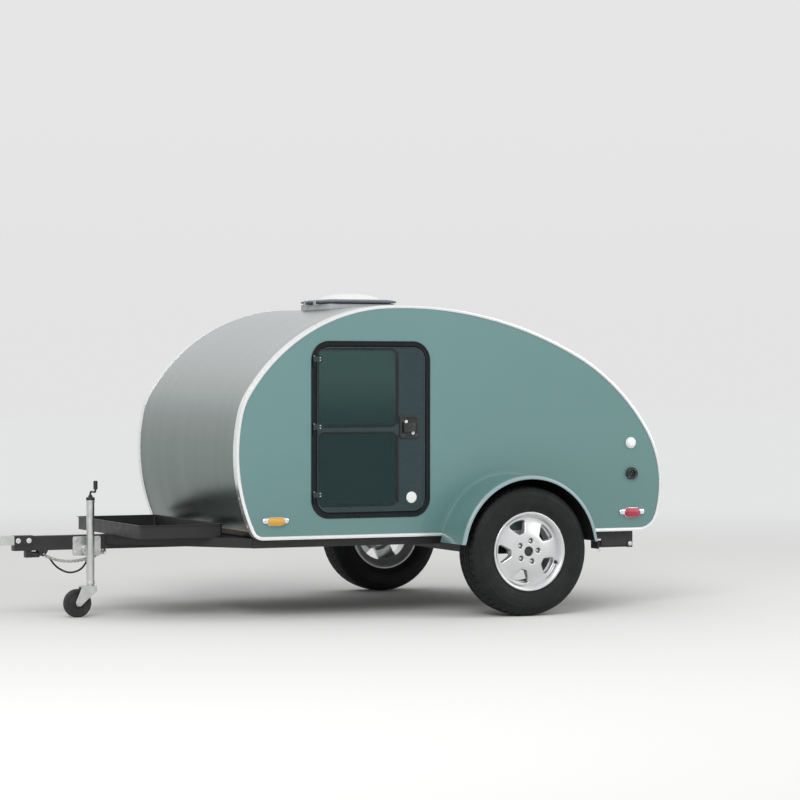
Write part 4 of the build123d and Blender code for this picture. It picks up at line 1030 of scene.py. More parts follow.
def longest_loop(node, y):
    """The longest boundary loop of a node's flat face at a Y, as 2-D points (x, z)."""
    mesh = nodes[node].data
    uses = {}
    for face in mesh.polygons:
        if all(abs(mesh.vertices[index].co.y - y) < 0.00002 for index in face.vertices):
            for key in face.edge_keys:
                uses[key] = uses.get(key, 0) + 1

    def spot(index):
        at = mesh.vertices[index].co
        return (round(at.x, 6), round(at.z, 6))

    ahead = {}
    for (first, second), count in uses.items():
        if count == 1 and spot(first) != spot(second):
            ahead.setdefault(spot(first), []).append(spot(second))
            ahead.setdefault(spot(second), []).append(spot(first))
    loops = []
    left = set(ahead)
    while left:
        loop = [left.pop()]
        while following := [point for point in ahead[loop[-1]] if point in left]:
            left.discard(following[0])
            loop.append(following[0])
        loops.append([Vector(point) for point in loop])
    return max(loops, key=lambda loop: sum((a - b).length for a, b in zip(loop, loop[1:])))


def even_path(loop, spacing):
    """Closed loop resampled evenly as (x, z, outward x, outward z)."""
    line = loop + [loop[0]]
    total = sum((second - first).length for first, second in zip(line, line[1:]))
    points = spread_along(line, int(total / spacing))[:-1]
    steps = zip(points, points[1:] + points[:1])
    area = sum(first.x * second.y - second.x * first.y for first, second in steps)
    if area < 0:
        points.reverse()
    path = []
    for index, point in enumerate(points):
        way = (points[(index + 1) % len(points)] - points[index - 1]).normalized()
        path.append((point.x, point.y, way.y, -way.x))
    return path


outline = even_path(longest_loop("edge_trim", -trim_face), 0.012)
trim_screw_spacing = 0.15


def make_trim_details(side, sign):
    """Insert that hides the moulding's screws, and the screws of its roof leg."""
    bm = bmesh.new()
    section = bead_section(-0.0088, sign * (trim_face + 0.0004), 0.0043, 0.0016, sign, 0.0008)
    add_moulding(bm, outline, section)
    finish_bmesh(bm, side + "_trim_insert", "trim_insert", "trailer", 30)
    bm = bmesh.new()
    run = 0.0
    for before, after in zip(outline, outline[1:]):
        run += hypot(after[0] - before[0], after[1] - before[1])
        if run < trim_screw_spacing:
            continue
        run = 0.0
        x, z, out_x, out_z = after
        under_fender = z < trim_low.z + 0.03 and abs(x - axle_x) < wing_radius + 0.02
        if not under_fender:
            add_screw(bm, (x, sign * (wall_inner + 0.016), z), (out_x, 0, out_z), 0.0036)
    finish_bmesh(bm, side + "_trim_screws", "zinc", "trailer", 40)


for side, sign in sides:
    make_fender(side, sign)
    make_trim_details(side, sign)


# Doors: beads on the flange, gasket, pane seals, latch, inner ring and lever

jamb_low, jamb_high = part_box("door_jambs")
door_x = (jamb_low.x + jamb_high.x) / 2
door_z = (jamb_low.z + jamb_high.z) / 2
flange_width = 0.026
flange_corner = 0.1
open_half_x = (jamb_high.x - jamb_low.x) / 2 - flange_width
open_half_z = (jamb_high.z - jamb_low.z) / 2 - flange_width
open_corner = flange_corner - flange_width
flange_face = wall_outer + 0.003
leaf_face = wall_outer + 0.006
leaf_back = leaf_face - 0.032
leaf_gap = 0.005
glass_low, glass_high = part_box("left_door_glass")
bar_half = 0.016
latch_plate_low, latch_plate_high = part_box("left_door_latch")
latch_x = (latch_plate_low.x + latch_plate_high.x) / 2
latch_z = (latch_plate_low.z + latch_plate_high.z) / 2
lock_places = ((axle_x - 0.613, 1.035), (axle_x - 0.573, 0.974))
white_disc_place = (axle_x - 0.577, 0.633)
leaf_half_x = open_half_x - leaf_gap


def door_path(grow, corner_steps=12):
    """Rounded rectangle a distance outside the clear doorway."""
    return round_rectangle(
        door_x, door_z, open_half_x + grow, open_half_z + grow, open_corner + grow, corner_steps,
    )


def make_doorway(side, sign):
    """Beads on the jamb's flange and the gasket in the gap."""
    bm = bmesh.new()
    for grow in (0.0225, 0.0035):
        add_moulding(bm, door_path(grow), bead_section(0.0, sign * flange_face, 0.0032, 0.0024, sign))
    finish_bmesh(bm, side + "_flange_beads", "door_flange", "trailer", 50)
    bm = bmesh.new()
    section = circle((0, sign * (wall_outer - 0.001)), 1.0, 12, Vector((0.0019, 0)), Vector((0, 0.0026)))
    add_moulding(bm, door_path(-0.0021), section)
    finish_bmesh(bm, side + "_door_gasket", "seal", "trailer", 60)


def make_leaf(side, sign):
    """Rubber round each pane, outside and inside, the leaf's raised border and its swages."""
    bm = bmesh.new()
    panes = ((glass_low.z, door_z - bar_half), (door_z + bar_half, glass_high.z))
    for low, high in panes:
        path = round_rectangle(
            (glass_low.x + glass_high.x) / 2, (low + high) / 2, (glass_high.x - glass_low.x) / 2,
            (high - low) / 2, 0.034, 10,
        )
        add_moulding(bm, path, bead_section(0.0002, sign * leaf_face, 0.0042, 0.0026, sign))
        add_moulding(bm, path, bead_section(-0.0098, sign * leaf_back, 0.0042, 0.0024, -sign))
    finish_bmesh(bm, side + "_pane_seals", "seal", side + "_door", 50)
    # Flat rubber bead between the panes and the latch side
    bm = bmesh.new()
    for low, high in panes:
        add_block(bm, (glass_high.x + 0.0035, leaf_face - 0.0004, low + 0.012),
                  (glass_high.x + 0.0115, leaf_face + 0.0013, high - 0.012), sign, 0.0006)
    finish_bmesh(bm, side + "_glazing_bead", "seal", side + "_door", 50)
    bm = bmesh.new()
    front_bead = bead_section(0.0, sign * leaf_face, 0.0036, 0.0022, sign)
    back_bead = bead_section(0.0, sign * leaf_back, 0.0046, 0.0026, -sign)
    add_moulding(bm, door_path(-leaf_gap - 0.0042), front_bead)
    add_moulding(bm, door_path(-leaf_gap - 0.006), back_bead)
    finish_bmesh(bm, side + "_leaf_border", "door_frame", side + "_door", 50)
    # Pressed swage down the latch side of the leaf
    bm = bmesh.new()
    strip_x = (glass_high.x + door_x + leaf_half_x) / 2 + 0.001
    strip_half = (door_x + leaf_half_x - glass_high.x) / 2 - 0.017
    for middle, half in ((latch_z + 0.245, 0.142), (latch_z - 0.262, 0.158)):
        path = round_rectangle(strip_x, middle, strip_half, half, 0.022, 8)
        add_moulding(bm, path, bead_section(0.0, sign * leaf_face, 0.0026, 0.0011, sign))
    finish_bmesh(bm, side + "_leaf_swage", "door_frame", side + "_door", 50)


def make_hinge_details(side, sign):
    """Caps on the hinge pins and screws in the hinge straps."""
    bm = bmesh.new()
    pin_x = door_x - open_half_x - 0.013
    pin_y = sign * (wall_outer + 0.009)
    spread = open_half_z - 0.0845
    for height in (door_z - spread, door_z, door_z + spread):
        add_lathe(bm, (pin_x, pin_y, height + 0.0295), (0, 0, 1), [
            (0.0, 0.0), (0.0048, 0.0), (0.0052, 0.0012), (0.0048, 0.0026), (0.003, 0.0038), (0.0, 0.0041),
        ], 20)
        for at in (0.0085, 0.0225):
            add_screw(bm, (door_x - leaf_half_x + 0.017, pin_y, height + at), (0, sign, 0), 0.0036)
    finish_bmesh(bm, side + "_hinge_screws", "zinc", side + "_door", 40)


def make_latch(side, sign):
    """Plate with a dished recess, paddle, two bright lock parts, and the plain white disc below them."""
    bm = bmesh.new()
    half_x = (latch_plate_high.x - latch_plate_low.x) / 2
    half_z = (latch_plate_high.z - latch_plate_low.z) / 2

    def plate(shrink, y, corner):
        return round_rectangle(latch_x, latch_z, half_x - shrink, half_z - shrink, corner, 8), 0.0, sign * y

    rows = [
        plate(0.0, leaf_face - 0.0005, 0.014), plate(0.0, leaf_face + 0.0045, 0.014),
        plate(0.0008, leaf_face + 0.0061, 0.0134), plate(0.0025, leaf_face + 0.007, 0.012),
        plate(0.0105, leaf_face + 0.007, 0.012), plate(0.0122, leaf_face + 0.0063, 0.012),
        plate(0.0135, leaf_face + 0.0045, 0.012), plate(0.017, leaf_face + 0.0018, 0.014),
        plate(0.023, leaf_face + 0.0012, 0.016),
    ]
    add_stack(bm, rows)
    piece = finish_bmesh(bm, side + "_latch_plate", "latch_black", side + "_door", 35)
    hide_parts(side + "_door_latch")
    bm = bmesh.new()
    paddle_z = latch_z - 0.001
    lift = Matrix.Rotation(sign * radians(4), 4, "X")
    add_block(bm, (latch_x - 0.034, leaf_face + 0.0025, paddle_z - 0.03),
              (latch_x + 0.034, leaf_face + 0.011, paddle_z + 0.026), sign, 0.0035, 3, lift)
    for step in range(4):
        rib = Vector((latch_x, sign * (leaf_face + 0.0112), paddle_z - 0.022 + 0.0045 * step))
        add_tube(bm, [rib - along_x * 0.024, rib + along_x * 0.024], 0.0012, 8)
    finish_bmesh(bm, side + "_latch_paddle", "latch_black", side + "_door", 35)
    bm = bmesh.new()
    for x, z in lock_places:
        add_lathe(bm, (x, sign * (leaf_face + 0.001), z), (0, sign, 0), [
            (0.0, 0.0), (0.0088, 0.0), (0.0088, 0.0105), (0.008, 0.0118), (0.0066, 0.0121), (0.0058, 0.0112),
            (0.0052, 0.0112), (0.0, 0.0114),
        ], 28)
    finish_bmesh(bm, side + "_latch_locks", "chrome", side + "_door", 30)
    bm = bmesh.new()
    add_lathe(bm, (white_disc_place[0], sign * leaf_face, white_disc_place[1]), (0, sign, 0), [
        (0.0, -0.0005), (0.0285, -0.0005), (0.03, 0.0006), (0.03, 0.0014), (0.029, 0.0024), (0.024, 0.003),
        (0.012, 0.0034), (0.0, 0.0035),
    ], 48)
    finish_bmesh(bm, side + "_white_disc", "white_plastic", side + "_door", 40)


def make_clamp_ring(side, sign):
    """Ring that clamps the jamb on the cabin side, with its screws."""
    bm = bmesh.new()
    section = (
        (-0.002, 0.0005), (-0.002, -0.0022), (0.0, -0.0036), (0.018, -0.0036), (0.0215, -0.002),
        (0.022, 0.0005),
    )
    add_moulding(bm, door_path(0.0035), [(out, sign * (wall_inner + rise)) for out, rise in section])
    finish_bmesh(bm, side + "_clamp_ring", "door_flange", "trailer", 35)
    bm = bmesh.new()
    ring = [Vector((x, sign * (wall_inner - 0.0036), z)) for x, z, _, _ in door_path(0.0145, 4)]
    for index, (place, after) in enumerate(zip(ring, ring[1:] + ring[:1])):
        length = (after - place).length
        parts = max(1, round(length / 0.11))
        if length > 0.1 or index % 2 == 0:
            for part in range(parts):
                add_screw(bm, place.lerp(after, part / parts), (0, -sign, 0), 0.0034)
    finish_bmesh(bm, side + "_clamp_screws", "zinc", "trailer", 40)


def make_inside_lever(side, sign):
    bm = bmesh.new()
    inward = Vector((0, -sign, 0))
    at = Vector((latch_x, sign * leaf_back, latch_z))
    path = round_rectangle(latch_x, latch_z, 0.034, 0.05, 0.012, 8)
    add_stack(bm, [
        (path, 0.0, sign * (leaf_back + 0.0005)), (path, 0.0, sign * (leaf_back - 0.003)),
        (path, -0.0015, sign * (leaf_back - 0.0045)), (path, -0.004, sign * (leaf_back - 0.005)),
    ])
    add_lathe(bm, at, inward, [
        (0.0, 0.004), (0.013, 0.004), (0.0125, 0.012), (0.011, 0.0155), (0.0, 0.0165),
    ], 32)
    add_tube(bm, [
        at + inward * 0.012, at + inward * 0.0185 + Vector((-0.012, 0, 0.001)),
        at + inward * 0.0205 + Vector((-0.034, 0, 0.003)), at + inward * 0.0195 + Vector((-0.058, 0, 0.003)),
        at + inward * 0.0165 + Vector((-0.074, 0, 0.001)),
    ], [0.006, 0.0066, 0.0064, 0.0058, 0.004], 16)
    finish_bmesh(bm, side + "_inside_lever", "latch_black", side + "_door", 40)


for side, sign in sides:
    make_doorway(side, sign)
    make_leaf(side, sign)
    make_hinge_details(side, sign)
    make_latch(side, sign)
    make_clamp_ring(side, sign)
    make_inside_lever(side, sign)

# Roof vent: a white dome on a lid frame whose blue-grey is painted shade under the dome


def plan_ring(x, y, half_x, half_y, radius, z, corner=10):
    """Rounded rectangle seen from above, as a ring of points at one height."""
    return [Vector((px, py, z)) for px, py, _, _ in round_rectangle(x, y, half_x, half_y, radius, corner)]


def make_vent():
    lid_low, lid_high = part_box("vent_lid")
    base_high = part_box("vent_base")[1]
    half = (lid_high.y - lid_low.y) / 2
    centre_x = lid_high.x - half
    rim_z = lid_low.z
    flange_z = rim_z + 0.0173
    slope = 0.21
    bm = bmesh.new()
    # The frame's section: distance in from the lid's edge, height
    rim_profile = (
        (0.2, flange_z - 0.0022), (0.045, flange_z - 0.0024), (0.036, flange_z - 0.0034),
        (0.0045, rim_z + 0.005), (0.0045, rim_z + 0.001), (0.003, rim_z), (0.0012, rim_z + 0.0006),
        (0.0, rim_z + 0.003), (0.0, rim_z + 0.0075), (0.0015, rim_z + 0.0095), (0.005, rim_z + 0.0108),
        (0.034, flange_z - 0.0004), (0.04, flange_z), (0.2, flange_z + 0.001),
    )
    add_rings(bm, [
        plan_ring(centre_x, 0.0, half - inset, half - inset, max(0.07 - inset * 0.4, 0.012), z)
        for inset, z in rim_profile
    ])
    # Knuckles of the hinge
    pin = joint_at["vent_lift"]
    for low in (-0.060, 0.042):
        add_lathe(bm, (pin.x, low, pin.z), along_y, [
            (0.0021, 0.0), (0.0045, 0.0), (0.0045, 0.018), (0.0021, 0.018),
        ], 20)
        add_slab(bm, (pin.x + 0.002, low, pin.z - 0.0035),
                 (centre_x - half + 0.004, low + 0.018, pin.z + 0.0045), 0.001)
    # Frame in the blue-grey of painted shade
    finish_bmesh(bm, "vent_lid_frame", "vent_shade_grey", "roof_vent")

    # The dome is steeper towards the front, so its rings shrink towards a point ahead of its middle
    dome_front, dome_rear, dome_half = centre_x - 0.162, centre_x + 0.172, 0.172
    middle_x, reach = (dome_front + dome_rear) / 2, (dome_rear - dome_front) / 2
    peak_x = dome_front + 0.15
    crown, foot = lid_high.z - flange_z - 0.0012, 0.0042
    outline = []
    for round_x, _, round_y in circle((0, 0, 0), 1.0, 96):
        outline.append((middle_x + reach * copysign(abs(round_x) ** 0.78, round_x),
                        dome_half * copysign(abs(round_y) ** 0.78, round_y)))
    # The dome's rings from its rolled foot to its crown: scale about the peak, rise over the flange
    dome_profile = [(1.045, -0.002), (1.045, 0.0016), (1.036, 0.0026), (1.008, 0.0028), (1.0, foot)]
    for step in range(1, 18):
        scale = 1 - step / 18
        dome_profile.append((scale, foot + (crown - foot) * (1 - scale ** 3)))
    bm = bmesh.new()
    add_rings(bm, [
        [Vector((peak_x + (x - peak_x) * scale, y * scale, flange_z + rise)) for x, y in outline]
        for scale, rise in dome_profile
    ])
    dome = finish_bmesh(bm, "vent_dome", "white_plastic", "roof_vent")
    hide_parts("vent_lid")

    # Screws on the frame's slope
    bm = bmesh.new()
    screw_z = rim_z + 0.0108 + 0.011 * slope
    for along in (-0.14, -0.05, 0.05, 0.14):
        for sign in (-1, 1):
            add_screw(bm, (centre_x + along, sign * (half - 0.016), screw_z), (0, sign * slope, 1), 0.0045)
            add_screw(bm, (centre_x + sign * (half - 0.016), along, screw_z), (sign * slope, 0, 1), 0.0045)
    finish_bmesh(bm, "vent_lid_screws", "steel", "roof_vent")

    # Rubber seal on the curb, under the lid's edge
    bm = bmesh.new()
    seal_half, curb_flange = base_high.y - 0.006, base_high.z - 0.0225
    seal_profile = (
        (0.0, -0.001), (0.0, 0.0025), (0.0015, 0.0042), (0.0045, 0.0042), (0.006, 0.0025), (0.006, -0.001),
    )
    add_rings(bm, [
        plan_ring(centre_x, 0.0, seal_half - inset, seal_half - inset, 0.01, curb_flange + rise)
        for inset, rise in seal_profile
    ], closed=True)
    finish_bmesh(bm, "vent_seal", "seal", "trailer")


make_vent()

# Lamps, porch lights and the power inlet


# Side lamps: half height of the housing, half lengths of the lens and of its cup
housing_half_z = 0.0155
lens_half_x, cup_half_x = 0.0485, 0.0512
flute_pitch = 0.0055


def stadium(half_x, half_z, along, corner):
    """Points of a slot shape about its own middle, anticlockwise."""
    straight = half_x - half_z
    points = []
    for sign in (1, -1):
        for step in range(along):
            points.append((sign * (straight - 2 * straight * step / along), sign * half_z))
        for step in range(corner):
            angle = (pi / 2 if sign > 0 else -pi / 2) + pi * step / corner
            points.append((-sign * straight + half_z * cos(angle), half_z * sin(angle)))
    return points


def shrunk_stadium(half_x, half_z, inset, along=40, corner=10):
    """A slot shape drawn in towards its middle line by an inset."""
    straight, shrink = half_x - half_z, (half_z - inset) / half_z
    points = []
    for x, z in stadium(half_x, half_z, along, corner):
        cap_x = max(-straight, min(straight, x))
        points.append((cap_x + (x - cap_x) * shrink, z * shrink))
    return points


def lamp_rings(at, sign, profile, half_x, half_z, flute=0.0):
    """Rings of a slot shape that rise from a wall: profile holds (inset, rise), flute is their depth."""
    rings = []
    for inset, rise in profile:
        depth = flute / 2 if 0.003 < inset < half_z - 0.004 else 0.0
        ring = []
        for x, z in shrunk_stadium(half_x, half_z, inset):
            out = wall_outer + rise - depth * (1 - cos(2 * pi * x / flute_pitch))
            ring.append(Vector((at[0] + x, sign * out, at[1] + z)))
        rings.append(ring)
    return rings


def make_side_lamps():
    bases = bmesh.new()
    screws = bmesh.new()
    base_low, base_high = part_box("lamp_bases")
    for node, colour in (("amber_lenses", "amber"), ("red_lenses", "red")):
        low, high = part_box(node)
        at = ((low.x + high.x) / 2, (low.z + high.z) / 2)
        half_x = (base_high.x - at[0]) if colour == "red" else (at[0] - base_low.x)
        lens_half_z = (high.z - low.z) / 2 + 0.0035
        ends_at = (at[0], at[1] + 0.004)
        lenses = bmesh.new()
        for sign in (-1, 1):
            add_rings(bases, lamp_rings(ends_at, sign, (
                (0.0, -0.001), (0.0, 0.0035), (0.0008, 0.0062), (0.0026, 0.0086), (0.006, 0.0106),
                (0.0095, 0.0118), (housing_half_z - 0.002, 0.0124),
            ), half_x, housing_half_z))
            add_rings(bases, lamp_rings(at, sign, (
                (0.0, -0.001), (0.0, 0.0048), (0.0006, 0.0062), (0.002, 0.0068), (lens_half_z, 0.0068),
            ), cup_half_x, lens_half_z + 0.0018))
            profile = [(0.0, 0.004), (0.0, 0.0125), (0.0007, 0.0150), (0.002, 0.0174), (0.004, 0.0192)]
            for step in range(1, 8):
                part = step / 8
                profile.append((0.004 + (lens_half_z - 0.0055) * part, 0.0192 + 0.0046 * sin(pi / 2 * part)))
            add_rings(lenses, lamp_rings(at, sign, profile, lens_half_x, lens_half_z, 0.0007))
            for way in (-1, 1):
                add_screw(screws, (at[0] + way * (half_x - 0.012), sign * (wall_outer + 0.0106), ends_at[1]),
                          (0, sign, 0), 0.0036)
        piece = finish_bmesh(lenses, colour + "_side_lenses", colour, "trailer", 50)
        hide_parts(node)
    piece = finish_bmesh(bases, "side_lamp_housings", "chrome", "trailer")
    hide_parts("lamp_bases")
    finish_bmesh(screws, "side_lamp_screws", "steel", "trailer")


def make_porch_lights():
    low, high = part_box("porch_lights")
    at_x, at_z, radius = (low.x + high.x) / 2, (low.z + high.z) / 2, (high.x - low.x) / 2
    body = bmesh.new()
    screws = bmesh.new()
    for _, sign in sides:
        add_lathe(body, (at_x, sign * wall_outer, at_z), (0, sign, 0), [
            (0.0, -0.001), (radius, -0.001), (radius, 0.0055), (radius - 0.001, 0.0074),
            (radius - 0.003, 0.008), (radius - 0.0042, 0.0072), (radius - 0.0046, 0.009),
            (radius - 0.0062, 0.0132), (radius - 0.0092, 0.0166), (radius - 0.0135, 0.0192),
            (radius - 0.019, 0.0209), (radius - 0.025, 0.0217), (0.0, 0.0219),
        ], 64)
        for angle in (40, 140, 220, 320):
            base = (at_x, sign * (wall_outer + 0.0077), at_z)
            place = circle(base, radius - 0.0024, 1, start=radians(angle))[0]
            add_screw(screws, place, (0, sign, 0), 0.0017)
    piece = finish_bmesh(body, "porch_light_domes", "lamp_white", "trailer", 40)
    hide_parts("porch_lights")
    finish_bmesh(screws, "porch_light_screws", "steel", "trailer")


def make_inlet():
    low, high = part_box("power_inlet")
    at_x, at_z, radius = (low.x + high.x) / 2, (low.z + high.z) / 2, (high.x - low.x) / 2
    bm = bmesh.new()
    face = low.y
    # Raised ring round the socket and a rolled edge on the flange
    for ring_radius, half, rise in ((0.0208, 0.0024, 0.0034), (radius - 0.0026, 0.0022, 0.0014)):
        bead = arc((ring_radius, 0), 1.0, pi, 0, 8, Vector((half, 0)), Vector((0, rise)))
        profile = [(ring_radius - half, -0.0005), *bead, (ring_radius + half, -0.0005)]
        add_rings(bm, [circle((at_x, face - out, at_z), ring, 48) for ring, out in profile], closed=True)
    finish_bmesh(bm, "inlet_rings", "black_plastic", "trailer", 50)
    bm = bmesh.new()
    for place in circle((at_x, face, at_z), 0.0264, 4, start=radians(45)):
        add_screw(bm, place, (0, -1, 0), 0.0028)
    for place in circle((at_x, -wall_outer - 0.0035, at_z), 0.0085, 3, start=radians(90)):
        add_lathe(bm, place, (0, -1, 0), [
            (0.0, 0.0), (0.0024, 0.0), (0.0024, 0.0078), (0.0012, 0.0092), (0.0, 0.0092),
        ], 14)
    finish_bmesh(bm, "inlet_pins_and_screws", "steel", "trailer")


make_side_lamps()
make_porch_lights()
make_inlet()


# Fittings on the hatch


def surface(node, at, way):
    """Where a ray from a point meets a CAD node."""
    return nodes[node].ray_cast(Vector(at), Vector(way))[1]


# A tail lamp's bezel: distance outside the lens, distance behind its front face
bezel_profile = (
    (0.0035, -0.006), (0.0035, 0.0075), (0.0028, 0.0092), (0.0012, 0.0098), (-0.0006, 0.009),
    (-0.0008, -0.006),
)


def make_tail_lamps():
    low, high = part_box("tail_lights")
    half_z = (high.z - low.z) / 2
    middle_z = (low.z + high.z) / 2
    half_y = 0.08
    bezel = bmesh.new()
    ribs = bmesh.new()
    for _, sign in sides:
        middle_y = sign * (high.y - half_y)
        rings = []
        for grow, rise in bezel_profile:
            points = shrunk_stadium(half_y, half_z, -grow, 24, 12)
            rings.append([Vector((low.x + rise, middle_y + y, middle_z + z)) for y, z in points])
        add_rings(bezel, rings, closed=True)
        for offset in (-0.026, 0.026):
            add_slab(ribs, (high.x - 0.002, middle_y + offset - 0.0012, middle_z - half_z + 0.006),
                     (high.x - 0.0001, middle_y + offset + 0.0012, middle_z + half_z - 0.006), 0.0005)
    finish_bmesh(bezel, "tail_lamp_bezels", "chrome", "hatch")
    finish_bmesh(ribs, "tail_lamp_ribs", "red", "hatch")


def make_hatch_handles():
    low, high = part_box("hatch_handles")
    middle_z = (low.z + high.z) / 2
    bm = bmesh.new()
    for _, sign in sides:
        y = sign * (high.y - 0.042)
        add_lathe(bm, (high.x - 0.0006, y, middle_z), (1, 0, 0), [
            (0.0, 0.0), (0.0062, 0.0), (0.0062, 0.0014), (0.0055, 0.0021), (0.0036, 0.0021),
            (0.0034, 0.0012), (0.0, 0.0012),
        ], 28)
        for way_y in (-1, 1):
            for way_z in (-1, 1):
                over = (high.x + 0.05, y + way_y * 0.0345, middle_z + way_z * 0.0145)
                add_screw(bm, surface("hatch_handles", over, (-1, 0, 0)), (1, 0, 0), 0.0034)
    finish_bmesh(bm, "hatch_handle_locks", "chrome", "hatch")


# The roof's fall at the hatch hinge
hinge_fall = radians(24.6)
hinge_way = Vector((cos(hinge_fall), 0, -sin(hinge_fall)))
hinge_out = Vector((sin(hinge_fall), 0, cos(hinge_fall)))


def make_hinge_screws():
    seat = joint_at["hatch_lift"] - hinge_way * 0.003 - hinge_out * 0.008
    for name, along, out, body in (("roof", -0.0275, 0.0038, "trailer"), ("hatch", 0.031, 0.003, "hatch")):
        bm = bmesh.new()
        for step in range(15):
            place = seat + hinge_way * along + hinge_out * out
            place.y = -0.665 + 0.095 * step
            add_screw(bm, place, hinge_out, 0.0042)
        finish_bmesh(bm, "hinge_screws_" + name, "steel", body)


make_tail_lamps()
make_hatch_handles()
make_hinge_screws()

# Safety chains, coupler, tray, jack and rear legs

coupler_half = 0.0295
sleeve_top = 0.431
cross_bolts_x = (axle_x - 2.454, axle_x - 2.512)
chain_wire, chain_pitch, chain_width = 0.005, 0.0192, 0.0172
chain_sag, chain_tilt = 0.040, 0.35
eye_x, eye_y = axle_x - 2.375, 0.0215
staple_x, staple_half, staple_bend = axle_x - 2.035, 0.0235, 0.005


def add_link(bm, middle, way, across, length):
    """One chain link: a slot shape of wire in the plane of its way and its across direction."""
    bend = (0.9 * chain_width - chain_wire) / 2
    path = []
    for sign in (1, -1):
        end = middle + way * sign * (length - 0.9 * chain_width) / 2
        path += arc(end, bend, -pi / 2, pi / 2, 8, way * sign, across * sign)
    add_tube(bm, path, chain_wire / 2, 8, closed=True)


def add_chain(bm, start, stop):
    """Links along a catenary that hangs between two places, each turned a quarter from the one before."""
    line = []
    for step in range(201):
        part = step / 200
        place = start.lerp(stop, part)
        place.y = start.y + (stop.y - start.y) * min(1.0, part * 5)
        place.z += chain_sag * (cosh(2.2 * (part - 0.5)) - cosh(1.1)) / (cosh(1.1) - 1)
        line.append(place)
    length = sum((after - before).length for before, after in zip(line, line[1:]))
    count = round(length / (chain_pitch - 2 * chain_wire + 0.0002))
    places = spread_along(line, count)
    for link, (before, after) in enumerate(zip(places, places[1:])):
        way = (after - before).normalized()
        upright = way.cross(along_y).normalized()
        main, other = (along_y, upright) if link % 2 == 0 else (upright, along_y)
        across = main + other * (chain_tilt if link % 4 < 2 else -chain_tilt)
        across = (across - way * across.dot(way)).normalized()
        add_link(bm, (before + after) / 2, way, across, length / count + 2 * chain_wire)


def make_chains():
    """Safety chains: from the eyes under the tongue, hooked back to a staple behind the jack."""
    beam_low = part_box("tongue_beam")[0].z
    under = beam_low + 0.037
    bm = bmesh.new()
    for _, sign in sides:
        # Shackle through the eye
        eye = Vector((eye_x, sign * eye_y, beam_low + 0.020))
        ends = Vector((0.004, 0, -0.004))
        bow = arc(eye + ends, 1.0, 0, pi, 12, along_y * 0.0085, Vector((0.017, 0, -0.011)))
        add_tube(bm, [bow[0] - ends, *bow, bow[-1] - ends], 0.0024, 10)
        add_tube(bm, [eye - along_y * 0.0105, eye + along_y * 0.0105], 0.0031, 12)
        stop = Vector((staple_x - 0.006, sign * 0.0150, under - 0.0155))
        add_chain(bm, Vector((eye_x + 0.019, sign * 0.0185, eye.z - 0.0135)), stop)
        # Hook over the staple
        hook = [stop + Vector((-0.012, 0, -0.002))]
        hook += arc((staple_x, stop.y, under - 0.0135), 1.0, radians(-120), radians(130), 14,
                    along_x * 0.010, along_z * 0.0135)
        add_tube(bm, hook, [0.0026] * (len(hook) - 3) + [0.0024, 0.0021, 0.0016], 10)
    finish_bmesh(bm, "safety_chains", "zinc", "trailer", 60)

    # Staple under the beam that takes both hooks
    bm = bmesh.new()
    corner_y, corner_z = staple_half - staple_bend, under - 0.0085
    staple = [Vector((staple_x, -staple_half, under + 0.002))]
    staple += arc((staple_x, -corner_y, corner_z), staple_bend, 0, pi / 2, 5, -along_y, -along_z)
    staple += arc((staple_x, corner_y, corner_z), staple_bend, pi / 2, 0, 5, along_y, -along_z)
    staple.append(Vector((staple_x, staple_half, under + 0.002)))
    add_tube(bm, staple, 0.003, 10)
    finish_bmesh(bm, "chain_staple", "frame_paint", "trailer", 50)


def add_wire_ring(bm, middle, radius, steps):
    """Thin wire ring that hangs in the plane of X and Z."""
    add_tube(bm, circle(middle, radius, steps, along_z, along_x), 0.0011, 8, closed=True)


def make_coupler_details():
    low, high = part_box("coupler")
    latch_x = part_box("coupler_latch")[0].x
    # Pivot of the latch, with a cheek each side, and the pin that locks it
    bm = bmesh.new()
    pivot = Vector((latch_x + 0.026, 0, high.z + 0.009))
    cheek = (
        (-0.016, -0.0085), (0.020, -0.0085), (0.017, 0.002), (0.006, 0.0085), (-0.006, 0.0085),
        (-0.014, 0.001),
    )
    add_tube(bm, [pivot - along_y * 0.0165, pivot + along_y * 0.0165], 0.0042, 16)
    for _, sign in sides:
        add_rings(bm, [[pivot + Vector((x, sign * y, z)) for x, z in cheek] for y in (0.0096, 0.0128)])
        add_bolt(bm, pivot + along_y * sign * 0.0128, (0, sign, 0), 0.0052)
    pin = Vector((latch_x + 0.088, 0, high.z + 0.0115))
    add_tube(bm, [pin - along_y * 0.019, pin + along_y * 0.017], 0.0026, 14)
    add_wire_ring(bm, pin + Vector((0, -0.0185, -0.0085)), 0.0085, 20)
    # Pressed ribs along the socket's sides
    for _, sign in sides:
        for share in (0.35, 0.7):
            y, z = sign * (coupler_half + 0.0006), low.z + (high.z - low.z) * share
            add_slab(bm, (low.x + 0.135, y - 0.0012, z - 0.0028),
                     (low.x + 0.262, y + 0.0012, z + 0.0028), 0.0011)
    finish_bmesh(bm, "coupler_fittings", "zinc", "trailer", 50)

    # Pin ends of the cross bolts on their washers
    bm = bmesh.new()
    for x in cross_bolts_x:
        for _, sign in sides:
            z = (low.z + sleeve_top) / 2
            add_lathe(bm, (x, sign * (coupler_half + 0.007), z), (0, sign, 0), [
                (0.0, -0.001), (0.0044, -0.001), (0.0044, 0.0035), (0.0034, 0.0048), (0.0, 0.0048),
            ], 18)
            add_lathe(bm, (x, sign * coupler_half, z), (0, sign, 0), [
                (0.0, 0.0), (0.0135, 0.0), (0.0135, 0.0012), (0.0128, 0.0018), (0.0, 0.0018),
            ], 28)
    finish_bmesh(bm, "coupler_bolt_ends", "chrome", "trailer")


